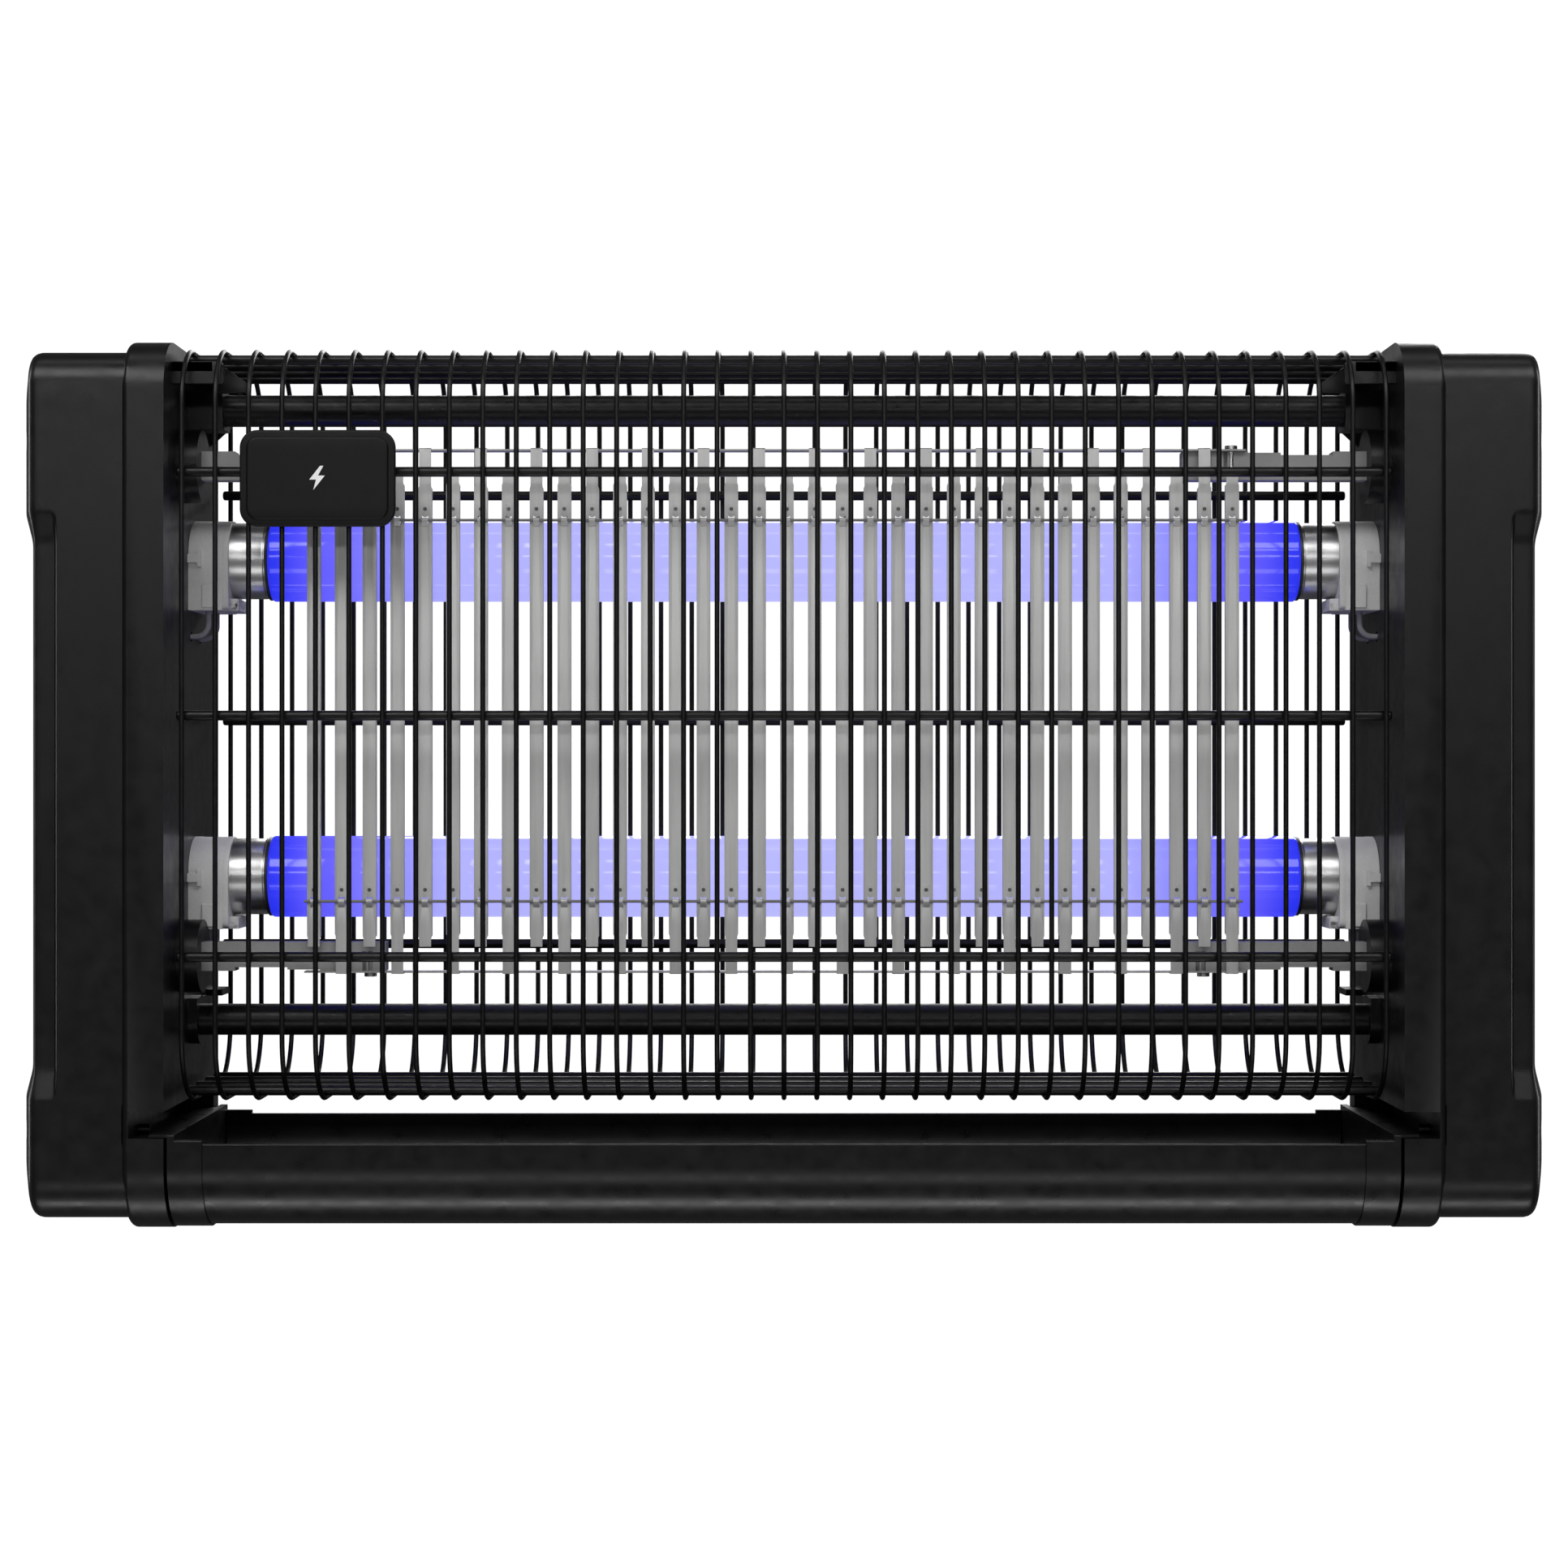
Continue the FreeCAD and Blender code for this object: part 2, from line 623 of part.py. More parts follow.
def insulator(level):
    """A right-hand insulator bar, stepped down towards its middle."""
    low, high = BAR_Z[level]
    steps = [BAR_TIP_X] + [x for x, _ in BAR_STEPS] + [WALL_X]
    drops = [drop for _, drop in BAR_STEPS] + [0.0]
    pieces = []
    for i, drop in enumerate(drops):
        z = (low, high - drop) if level == "upper" else (low + drop, high)
        pieces.append(box((steps[i], steps[i + 1]), BAR_Y, z))
    bar = fuse_all(pieces)
    bar = bar.cut(rod_x((WALL_X - 12, WALL_X + 1), bar_mid_y(), boss_centre(level), SCREW_R))
    seat = BUS_Z["upper"] if level == "upper" else BUS_Z["lower"] + BUS_T
    depth = (seat - 6, seat + 1) if level == "upper" else (seat - 1, seat + 6)
    for x in BUS_SCREW_X[level]:
        bar = bar.cut(rod_z(depth, abs(x), STRIP_Y + TAB_DEPTH / 2, BUS_SCREW_R))
    return bar


def right_insulator(level):
    """The right-hand bars also carry a high-voltage lead in a long bore."""
    y, z = bar_lead_place(level)
    return insulator(level).cut(rod_x((BAR_TIP_X - 1, WALL_X + 1), y, z, BAR_BORE_R))


# ---- Lamps ----
def neck_r():
    """Outer radius of the glass where it is drawn in under the metal caps."""
    return CAP_D / 2 - CAP_WALL


def lamp_glass(level):
    z = LAMP_Z[level]
    body = rod_x((-GLASS_BODY_HALF, GLASS_BODY_HALF), LAMP_Y, z, GLASS_D / 2)
    body = round_edges_at_x(body, GLASS_BODY_HALF, 1.0)
    body = round_edges_at_x(body, -GLASS_BODY_HALF, 1.0)
    glass = body.fuse(rod_x((-GLASS_HALF, GLASS_HALF), LAMP_Y, z, neck_r()))
    return glass.cut(rod_x((-GLASS_HALF - 1, GLASS_HALF + 1), LAMP_Y, z, neck_r() - GLASS_WALL))


def lamp_caps(level):
    """Metal end cups that slip over the neck of the glass."""
    z = LAMP_Z[level]
    cup = rod_x(CAP_X, LAMP_Y, z, CAP_D / 2)
    cup = round_edges_at_x(cup, CAP_X[1], 1.2)
    cup = cup.cut(rod_x((CAP_X[0] - 1, GLASS_HALF), LAMP_Y, z, neck_r()))
    cup = cup.cut(rod_x((GLASS_HALF - 1, CAP_X[1] - CAP_WALL), LAMP_Y, z, neck_r() - GLASS_WALL))
    for side in (-1, 1):
        cup = cup.cut(rod_x((CAP_X[1] - 2, CAP_X[1] + 1), LAMP_Y + side * PIN_SPACING / 2, z, PIN_D / 2))
    return both_ends(cup)


def lamp_pins(level):
    pins = []
    x = (CAP_X[1] - CAP_WALL, CAP_X[1] + PIN_LENGTH)
    for side in (-1, 1):
        y = LAMP_Y + side * PIN_SPACING / 2
        pins += both_ends(rod_x(x, y, LAMP_Z[level], PIN_D / 2))
    return pins


def lamp_cathodes(level):
    """The glass stem with its coil, at each end inside the tube."""
    z = LAMP_Z[level]
    stem = rod_x((GLASS_HALF - STEM_LENGTH, GLASS_HALF), LAMP_Y, z, STEM_R)
    flare = rod_x((GLASS_HALF - 2, GLASS_HALF), LAMP_Y, z, neck_r() - GLASS_WALL)
    post_x = (GLASS_HALF - CATHODE_REACH, GLASS_HALF - STEM_LENGTH + 1)
    posts = [rod_x(post_x, LAMP_Y + s * 3.0, z, 0.5) for s in (-1, 1)]
    coil = rod_y((LAMP_Y - 3.6, LAMP_Y + 3.6), post_x[0] + 0.6, z, 0.8)
    return both_ends(fuse_all([stem, flare, coil] + posts))


# ---- Lamp holders ----
def lamp_holder(level):
    """A right-hand lamp holder: a round-topped block with a slot for the pins and a foot below."""
    z = LAMP_Z[level]
    x = (HOLDER_X, WALL_X)
    y = (LAMP_Y - HOLDER_R, LAMP_Y + HOLDER_R)
    body = rod_x(x, LAMP_Y, z, HOLDER_R).fuse(box(x, y, (z + HOLDER_FOOT_Z, z)))
    foot_z = z + HOLDER_FOOT_Z
    foot_y = (LAMP_Y - HOLDER_FOOT_HALF_Y, LAMP_Y + HOLDER_FOOT_HALF_Y)
    foot = box((HOLDER_FOOT_X, WALL_X), foot_y, (foot_z, foot_z + HOLDER_FOOT_T))
    panel_z = (z - HOLDER_PANEL_DROP[0], z - HOLDER_PANEL_DROP[1])
    panel = box(HOLDER_PANEL_X, (y[0] - HOLDER_PANEL_T, y[0] + 1), panel_z)
    peg_y = (y[0] - PEG_T, y[0] + 1)
    peg = box((PEG_X[0], WALL_X), peg_y, (z - PEG_HALF_H, z + PEG_HALF_H))
    peg_bar = box(PEG_X, peg_y, (z - PEG_BAR_HALF_H, z + PEG_BAR_HALF_H))
    holder = fuse_all([body, foot, panel, peg, peg_bar])
    holder = holder.cut(rod_x((HOLDER_X - 1, CAVITY_X), LAMP_Y, z, CAVITY_R))
    entry_y = (LAMP_Y - ENTRY_W / 2, LAMP_Y + ENTRY_W / 2)
    holder = holder.cut(box((HOLDER_X - 1, CAVITY_X), entry_y, (z, z + HOLDER_R + 1)))
    for y in (LAMP_Y - HOLDER_SIDE, LAMP_Y + HOLDER_SIDE):
        screw_x = (WALL_X - 2.2, WALL_X + 1)
        holder = holder.cut(rod_x(screw_x, y, z - HOLDER_SCREW_DROP, HOLDER_SCREW_R))
        holder = holder.cut(rod_z((foot_z - 1, foot_z + 4), lead_x(), y, LEAD_D / 2))
    return holder


def lead_x():
    return WALL_X - LEAD_BEND_R - 1.3


def holder_rotor(level):
    """The turning disc that locks the lamp pins, slotted right across."""
    z = LAMP_Z[level]
    disc = rod_x(ROTOR_X, LAMP_Y, z, ROTOR_R)
    slot_y = (LAMP_Y - ROTOR_R, LAMP_Y + ROTOR_R)
    slot = box((ROTOR_X[0] - 1, ROTOR_X[1] + 1), slot_y, (z - PIN_D / 2, z + PIN_D / 2))
    web = rod_x(ROTOR_X, LAMP_Y, z, ROTOR_WEB_R)
    return disc.cut(slot).fuse(web).removeSplitter()


def holder_contacts(level):
    """Two brass blades at the back of a holder, one beside each pin."""
    z = LAMP_Z[level]
    blades = []
    for side in (-1, 1):
        y = LAMP_Y + side * (PIN_SPACING / 2 + PIN_D / 2 + 0.5)
        blade_y = (y - CONTACT_T / 2, y + CONTACT_T / 2)
        blade_z = (z - CONTACT_H / 2, z + CONTACT_H / 2)
        blades.append(box((ROTOR_X[1] + 0.4, CAVITY_X), blade_y, blade_z))
    return blades


def bent_lead(points, radius, bend):
    """A round lead along straight runs joined by tangent arcs."""
    points = [Vector(*p) for p in points]
    edges = []
    start = points[0]
    for i in range(1, len(points) - 1):
        before = (points[i - 1] - points[i]).normalize()
        after = (points[i + 1] - points[i]).normalize()
        half = before.getAngle(after) / 2
        reach = bend / math.tan(half)
        a = points[i] + before * reach
        c = points[i] + after * reach
        middle = (before + after).normalize()
        b = points[i] + middle * (bend / math.sin(half) - bend)
        edges.append(Part.LineSegment(start, a).toShape())
        edges.append(Part.Arc(a, b, c).toShape())
        start = c
    edges.append(Part.LineSegment(start, points[-1]).toShape())
    path = Part.Wire(edges)
    section = Part.Wire(Part.makeCircle(radius, points[0], points[1] - points[0]))
    return path.makePipeShell([section], True, False)


def lamp_leads(level, to_board):
    """The two leads under a holder: down, then outwards through the wall to a board or a block."""
    leads = []
    top = LAMP_Z[level] + HOLDER_FOOT_Z
    z = top - LEAD_DROP
    block_end = BLOCK_Z[1] if level == "upper" else BLOCK_Z[0]
    for y in (LAMP_Y - HOLDER_SIDE, LAMP_Y + HOLDER_SIDE):
        points = [(lead_x(), y, top + 3.9), (lead_x(), y, z)]
        if to_board:
            points += [(BOARD_X, y, z)]
        else:
            points += [(HARNESS_X, y, z), (HARNESS_X, y, block_end)]
        leads.append(bent_lead(points, LEAD_D / 2, LEAD_BEND_R))
    return leads


# ---- Catch tray ----
def tray_section(x, grow, top):
    """The trough's outer section, grown all round and cut off level at the top."""
    z = (TRAY_Z[0] - grow, top)
    return rounded_bar_x(x, TRAY_HALF_DEPTH + grow, z, TRAY_R + grow, TRAY_LIP_R)


def tray_room(x):
    """The room inside the trough, from x[0] to x[1]."""
    z = (TRAY_Z[0] + TRAY_WALL, TRAY_Z[1] + 5)
    return rounded_bar_x(x, TRAY_HALF_DEPTH - TRAY_WALL, z, TRAY_R - TRAY_WALL, TRAY_LIP_R)


def tray_body():
    outer = tray_section((-TRAY_END_X, TRAY_END_X), 0, TRAY_Z[1])
    return outer.cut(tray_room((-TRAY_END_X - 1, TRAY_END_X + 1)))


def tray_end_cap():
    """The right-hand tray end: a plate that wraps the trough and carries the sliding lip."""
    wrap = tray_section((CAP_END_X[0], TRAY_END_X + 0.5), CAP_OVER, TRAY_Z[1] + 1.1)
    wrap = wrap.cut(tray_section((CAP_END_X[0] - 1, TRAY_END_X), 0, TRAY_Z[1]))
    wrap = wrap.cut(tray_room((CAP_END_X[0] - 1, TRAY_END_X)))
    plate = tray_section((TRAY_END_X, CAP_END_X[1]), CAP_OVER, LIP_Z[1])
    lip = box((CAP_END_X[1] - 0.5, LIP_OUT_X), LIP_Y, LIP_Z)
    return fuse_all([wrap, plate, lip])


# ---- Badge ----
def badge():
    """The name plate: a rim, a raised pad, and two hooks over an upper guard rod."""
    x = (BADGE_X - BADGE_W / 2, BADGE_X + BADGE_W / 2)
    z = (BADGE_Z - BADGE_H / 2, BADGE_Z + BADGE_H / 2)
    plate = rounded_plate_y((BADGE_Y[0] + BADGE_PAD_RAISE, BADGE_Y[1]), x, z, BADGE_R)
    inset = BADGE_PAD_INSET
    pad_x = (x[0] + inset, x[1] - inset)
    pad_z = (z[0] + inset, z[1] - inset)
    pad = rounded_plate_y((BADGE_Y[0], BADGE_Y[1] - 1), pad_x, pad_z, BADGE_R - inset)
    front = []
    for edge in pad.Edges:
        span = edge.BoundBox
        if abs(span.YMin - BADGE_Y[0]) < 1e-4 and abs(span.YMax - BADGE_Y[0]) < 1e-4:
            front.append(edge)
    solids = [plate, pad.makeFillet(0.5, front)]
    rod_y_at = ROD_D / 2 + WIRE_D / 2 - WIRE_Y
    inner = ROD_D / 2 + HOOK_GAP
    over = (SIDE_ROD_Z[0] + inner, SIDE_ROD_Z[0] + inner + HOOK_T)
    behind = (rod_y_at + inner, rod_y_at + inner + HOOK_T)
    for middle in HOOK_X:
        wide = (middle - HOOK_HALF_W, middle + HOOK_HALF_W)
        solids.append(box(wide, (BADGE_Y[1] - 0.5, behind[1]), over))
        solids.append(box(wide, behind, (SIDE_ROD_Z[0] - 0.6, over[1])))
    return fuse_all(solids)


# ---- Electronics ----
def circuit_board(board):
    plate = box((BOARD_X, BOARD_X + BOARD_T), board["y"], board["z"])
    for y, z in board_holes(board):
        plate = plate.cut(rod_x((BOARD_X - 1, BOARD_X + 3), y, z, BOARD_HOLE_R))
    return plate


def on_board(y, z, size_y, size_z, height):
    """A rectangular component standing on the outer side of a board."""
    x = BOARD_X + BOARD_T
    return box((x, x + height), (y - size_y / 2, y + size_y / 2), (z - size_z / 2, z + size_z / 2))


def ballast_chokes():
    chokes = []
    for z in CHOKE_Z:
        core = on_board(CHOKE_Y, z, 22.0, 26.0, 16.0)
        winding = on_board(CHOKE_Y, z, 26.0, 14.0, 13.0)
        chokes.append(core.fuse(winding).removeSplitter())
    return chokes


def ballast_capacitors():
    x = BOARD_X + BOARD_T
    cans = [rod_x((x, x + 18.0), y, 132.0, 5.0) for y in (-26.0, -13.0)]
    cans += [on_board(8.0, z, 8.0, 16.0, 12.0) for z in (116.0, 148.0)]
    return cans


def board_connectors():
    mains = on_board(4.0, 84.0, 12.0, 8.0, 9.0)
    lamps = on_board(0.0, 182.0, 12.0, 8.0, 9.0)
    grid = on_board(9.5, 201.0, 8.0, 6.0, 9.0)
    return [mains, lamps, grid]


def high_voltage_transformer():
    core = on_board(*TRANSFORMER_YZ, 20.0, 26.0, 20.0)
    return core.makeFillet(1.5, [e for e in core.Edges if abs(e.BoundBox.XLength) > 19])


def high_voltage_capacitors():
    x = BOARD_X + BOARD_T
    return [rod_x((x, x + 7.0), HV_CAPACITOR_Y, z, 4.0) for z in HV_CAPACITOR_Z]


def high_voltage_leads():
    """One lead to each grid set, through the wall and along the bore of a right-hand insulator."""
    leads = []
    for level, end_z in HV_LEAD_Z.items():
        y, z = bar_lead_place(level)
        points = [(BUS_SCREW_X[level][1] + 2.0, y, z), (HARNESS_X, y, z)]
        points += [(HARNESS_X, y, end_z), (BOARD_X, y, end_z)]
        leads.append(bent_lead(points, BAR_LEAD_R, 2.4))
    return leads


# ---- Rear panel ----
def switch_block(y, margin):
    """A block behind the switch's bezel, set in from its edges by margin."""
    x = (INLET_X - SWITCH_W / 2 + margin, INLET_X + SWITCH_W / 2 - margin)
    z = (SWITCH_Z - SWITCH_H / 2 + margin, SWITCH_Z + SWITCH_H / 2 - margin)
    return box(x, y, z)


def switch_opening():
    return switch_block((PANEL_Y - 8, PANEL_Y + 1), BEZEL_LIP)


def switch_housing():
    """The rocker's frame: a bezel on the panel and an open box behind it, with two pivot holes."""
    bezel = switch_block((PANEL_Y, PANEL_Y + BEZEL_T), 0.0)
    neck = switch_block((PANEL_Y - 11, PANEL_Y + 0.5), BEZEL_LIP)
    room_x = (INLET_X - ROCKER_W / 2 - 0.3, INLET_X + ROCKER_W / 2 + 0.3)
    room_z = (SWITCH_Z - ROCKER_H / 2 - 0.5, SWITCH_Z + ROCKER_H / 2 + 0.5)
    housing = bezel.fuse(neck).removeSplitter().cut(box(room_x, (PANEL_Y - 7, PANEL_Y + 2), room_z))
    pivot_x = (INLET_X - ROCKER_W / 2 - 0.9, INLET_X + ROCKER_W / 2 + 0.9)
    return housing.cut(rod_x(pivot_x, PANEL_Y - 1.0, SWITCH_Z, 0.75))


def switch_rocker():
    """The rocker, resting with its lower end pressed."""
    half_w = ROCKER_W / 2
    pivot_y = PANEL_Y - 1.0
    crest = 2.6
    half_h = ROCKER_H / 2
    points = [(-3.2, -5.0), (-3.2, 5.0), (crest - 1.2, half_h - 0.4), (crest - 0.2, half_h - 0.8)]
    points += [(1.3, 0.0), (crest - 0.2, 0.8 - half_h), (crest - 1.2, 0.4 - half_h)]
    corners = [Vector(INLET_X - half_w, pivot_y + dy, SWITCH_Z + dz) for dy, dz in points]
    key = Part.Face(Part.makePolygon(corners + corners[:1])).extrude(Vector(ROCKER_W, 0, 0))
    pins = rod_x((INLET_X - half_w - 0.7, INLET_X + half_w + 0.7), pivot_y, SWITCH_Z, 0.7)
    rocker = key.fuse(pins).removeSplitter()
    rocker.rotate(Vector(INLET_X, pivot_y, SWITCH_Z), X_AXIS, -ROCKER_TILT)
    return rocker


def inlet_outline(radius, back):
    """The flat-sided oval of a two-pin mains inlet, along Y."""
    y = (back, PANEL_Y + BEZEL_T)
    low_z = INLET_Z - INLET_HALF
    high_z = INLET_Z + INLET_HALF
    ends = [rod_y(y, INLET_X, z, radius) for z in (low_z, high_z)]
    middle = box((INLET_X - radius, INLET_X + radius), y, (low_z, high_z))
    return fuse_all([middle] + ends)


def mains_inlet():
    """The inlet body: a flange on the panel and an oval socket with two pin holes."""
    half_w = INLET_R + 0.6
    half_h = INLET_HALF + INLET_R + 0.8
    flange_z = (INLET_Z - half_h, INLET_Z + half_h)
    flange = box((INLET_X - half_w, INLET_X + half_w), (PANEL_Y, PANEL_Y + BEZEL_T), flange_z)
    body = inlet_outline(INLET_R, PANEL_Y - 14).fuse(flange).removeSplitter()
    body = body.cut(inlet_outline(INLET_SOCKET_R, PANEL_Y - 11))
    for z in (INLET_Z - INLET_HALF, INLET_Z + INLET_HALF):
        body = body.cut(rod_y((PANEL_Y - 15, PANEL_Y - 10), INLET_X, z, INLET_PIN_R))
    return body


def inlet_pins():
    y = (PANEL_Y - 17, PANEL_Y - 2.5)
    return [rod_y(y, INLET_X, INLET_Z + side * INLET_HALF, INLET_PIN_R) for side in (-1, 1)]


def mains_leads():
    """Inlet to board, inlet to switch, and switch to board, inside the right-hand housing."""
    low_pin = INLET_Z - INLET_HALF
    high_pin = INLET_Z + INLET_HALF
    pin_end = PANEL_Y - 17
    switch_back = PANEL_Y - 11
    connector_y = 10.0
    near = 14.5
    far = 19.0
    line_z = 82.5
    return_z = 86.0
    low_tag = 89.0
    high_tag = 97.0
    other_x = INLET_X - 4.0
    to_board = [(INLET_X, pin_end, low_pin), (INLET_X, near, low_pin)]
    to_board += [(INLET_X, near, line_z), (INLET_X, connector_y, line_z)]
    to_switch = [(INLET_X, pin_end, high_pin), (INLET_X, far, high_pin)]
    to_switch += [(INLET_X, far, low_tag), (INLET_X, switch_back, low_tag)]
    switched = [(other_x, switch_back, high_tag), (other_x, near, high_tag)]
    switched += [(other_x, near, return_z), (other_x, connector_y, return_z)]
    return [bent_lead(route, MAINS_LEAD_R, 3.5) for route in (to_board, to_switch, switched)]


# ---- Fasteners ----
def cover_screws():
    screws = [screw((COVER_SEAT_X, y, z), (-1, 0, 0), 14.0) for y, z in COVER_SCREW_YZ]
    return screws + [mirrored(s) for s in screws]


def tube_nuts():
    """Thin hexagon nuts that pull the tie tubes up against the walls."""
    nuts = []
    for z in TUBE_Z.values():
        points = []
        for i in range(6):
            angle = math.radians(60 * i)
            radius = NUT_ACROSS / 2 / math.cos(math.radians(30))
            corner = (radius * math.cos(angle), z + radius * math.sin(angle))
            points.append(Vector(WALL_X + FRAME_WALL, *corner))
        nut = Part.Face(Part.makePolygon(points + points[:1])).extrude(Vector(NUT_HEIGHT, 0, 0))
        nuts += both_ends(nut.cut(rod_x((WALL_X, WALL_X + 9), 0, z, TUBE_OD / 2)))
    return nuts


def insulator_screws():
    screws = []
    for level in ("upper", "lower"):
        seat = (WALL_X + FRAME_WALL, bar_mid_y(), boss_centre(level))
        screws += both_ends(screw(seat, (-1, 0, 0), 12.0, head_r=2.4))
    return screws


def busbar_screws():
    screws = []
    for level in ("upper", "lower"):
        for x in BUS_SCREW_X[level]:
            if level == "upper":
                seat, drive = BUS_Z[level] + BUS_T, (0, 0, -1)
            else:
                seat, drive = BUS_Z[level], (0, 0, 1)
            place = (x, STRIP_Y + TAB_DEPTH / 2, seat)
            screws.append(screw(place, drive, 6.0, BUS_SCREW_R, 1.9, 1.2))
    return screws


def holder_screws():
    screws = []
    for z in LAMP_Z.values():
        for y in (LAMP_Y - HOLDER_SIDE, LAMP_Y + HOLDER_SIDE):
            seat = (WALL_X + FRAME_WALL, y, z - HOLDER_SCREW_DROP)
            screws += both_ends(screw(seat, (-1, 0, 0), 4.5, HOLDER_SCREW_R, 2.2, 1.4))
    return screws


def board_screws():
    screws = []
    for y, z in board_holes(BALLAST) + board_holes(HIGH_VOLTAGE):
        seat = (BOARD_X + BOARD_T, y, z)
        screws.append(screw(seat, (-1, 0, 0), 6.0, BOARD_HOLE_R, 2.1, 1.4))
    return screws


def tie_tube(level):
    return tube_x((-TUBE_END_X, TUBE_END_X), 0, TUBE_Z[level], TUBE_OD / 2, TUBE_ID / 2)


def spacer_rod(level):
    return rod_x(SPACER_X, spacer_y(), SPACER_Z[level], SPACER_D / 2)


def crossover_cable():
    """The sheathed cable that feeds the left-hand holders, through the upper tie tube."""
    z = TUBE_Z["upper"]
    rise_x = 201.0
    drop_x = 203.0
    points = [(-HARNESS_X, CABLE_Y, BLOCK_Z[1]), (-HARNESS_X, CABLE_Y, 172.0), (-rise_x, 0, 200.0)]
    points += [(-rise_x, 0, z), (drop_x, 0, z), (drop_x, 0, 186.0)]
    return bent_lead(points, CABLE_R, 5.0)


def left_terminal_block():
    base = WALL_X + FRAME_WALL
    block = box((base, base + BLOCK_T), BLOCK_Y, BLOCK_Z)
    for y in (CABLE_Y, LAMP_Y - HOLDER_SIDE, LAMP_Y + HOLDER_SIDE):
        block = block.cut(rod_x((base + 7, base + BLOCK_T + 1), y, sum(BLOCK_Z) / 2, 2.0))
    return mirrored(block)


# ---- Every node ----
def build():
    parts = {
        "left_end_frame": mirrored(end_frame(False)),
        "right_end_frame": end_frame(True),
        "left_outer_cover": mirrored(outer_cover(False)),
        "right_outer_cover": outer_cover(True),
        "upper_tie_tube": tie_tube("upper"),
        "lower_tie_tube": tie_tube("lower"),
        "tie_tube_nuts": tube_nuts(),
        "guard_hoops": guard_hoops(),
        "guard_rods": guard_rods(),
        "badge": badge(),
        "grid_strips_a": grid_set("A"),
        "grid_strips_b": grid_set("B"),
        "upper_busbar": busbar("upper"),
        "lower_busbar": busbar("lower"),
        "upper_spacer_rod": spacer_rod("upper"),
        "lower_spacer_rod": spacer_rod("lower"),
        "busbar_screws": busbar_screws(),
        "insulator_screws": insulator_screws(),
        "holder_screws": holder_screws(),
        "cover_screws": cover_screws(),
        "board_screws": board_screws(),
        "tray_body": tray_body(),
        "right_tray_end": tray_end_cap(),
        "left_tray_end": mirrored(tray_end_cap()),
        "ballast_board": circuit_board(BALLAST),
        "ballast_chokes": ballast_chokes(),
        "ballast_capacitors": ballast_capacitors(),
        "board_connectors": board_connectors(),
        "high_voltage_board": circuit_board(HIGH_VOLTAGE),
        "high_voltage_transformer": high_voltage_transformer(),
        "high_voltage_capacitors": high_voltage_capacitors(),
        "high_voltage_leads": high_voltage_leads(),
        "mains_leads": mains_leads(),
        "crossover_cable": crossover_cable(),
        "left_terminal_block": left_terminal_block(),
        "switch_housing": switch_housing(),
        "switch_rocker": switch_rocker(),
        "mains_inlet": mains_inlet(),
        "inlet_pins": inlet_pins(),
    }
    for level in ("upper", "lower"):
        parts[f"{level}_left_insulator"] = mirrored(insulator(level))
        parts[f"{level}_right_insulator"] = right_insulator(level)
        parts[f"{level}_lamp_glass"] = lamp_glass(level)
        parts[f"{level}_lamp_caps"] = lamp_caps(level)
        parts[f"{level}_lamp_pins"] = lamp_pins(level)
        parts[f"{level}_lamp_cathodes"] = lamp_cathodes(level)
        parts[f"{level}_lamp_rotors"] = both_ends(holder_rotor(level))
        parts[f"{level}_left_lamp_holder"] = mirrored(lamp_holder(level))
        parts[f"{level}_right_lamp_holder"] = lamp_holder(level)
        left_leads = [mirrored(lead) for lead in lamp_leads(level, False)]
        parts[f"{level}_lamp_leads"] = lamp_leads(level, True) + left_leads
    contacts = holder_contacts("upper") + holder_contacts("lower")
    parts["lamp_contacts"] = contacts + [mirrored(blade) for blade in contacts]
    return parts


def main():
    os.makedirs("parts", exist_ok=True)
    for name, shape in build().items():
        if isinstance(shape, list):
            shape = Part.makeCompound(shape)
        shape.exportStep(f"parts/{name}.step")
    print("done")


main()
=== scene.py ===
import math
import bmesh
import bpy
from mathutils import Matrix, Vector


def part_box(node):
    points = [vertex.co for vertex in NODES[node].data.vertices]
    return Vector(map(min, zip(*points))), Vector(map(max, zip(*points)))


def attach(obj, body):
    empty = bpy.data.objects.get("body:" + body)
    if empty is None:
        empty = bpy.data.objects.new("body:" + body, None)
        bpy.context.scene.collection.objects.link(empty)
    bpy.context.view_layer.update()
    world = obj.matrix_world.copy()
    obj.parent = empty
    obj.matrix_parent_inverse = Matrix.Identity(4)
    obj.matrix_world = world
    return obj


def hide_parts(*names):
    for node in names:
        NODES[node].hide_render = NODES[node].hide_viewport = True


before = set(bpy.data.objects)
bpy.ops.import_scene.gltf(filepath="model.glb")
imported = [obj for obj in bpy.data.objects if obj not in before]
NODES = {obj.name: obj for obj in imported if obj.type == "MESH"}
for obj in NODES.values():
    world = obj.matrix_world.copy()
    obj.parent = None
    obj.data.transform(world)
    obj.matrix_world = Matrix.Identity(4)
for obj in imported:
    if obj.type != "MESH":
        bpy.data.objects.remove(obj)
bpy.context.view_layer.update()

MM = 0.001
SCENE = bpy.context.scene


# ---------------------------------------------------------------- camera, lights, floor

CAMERA_AT = (0.0, -0.950, 0.1345)
CAMERA_LENS = 69.9
CAMERA_SENSOR = 36.0
MIDDLE = Vector((0.0, 0.0, 0.134))
WHITE = (1.0, 1.0, 1.0, 1.0)
SHOWN_WHITE = 1.05
WORLD_LIGHT = 0.07
FLOOR_HALF = 6.0


def linked(name, data):
    """A new object in the scene."""
    item = bpy.data.objects.new(name, data)
    SCENE.collection.objects.link(item)
    return item


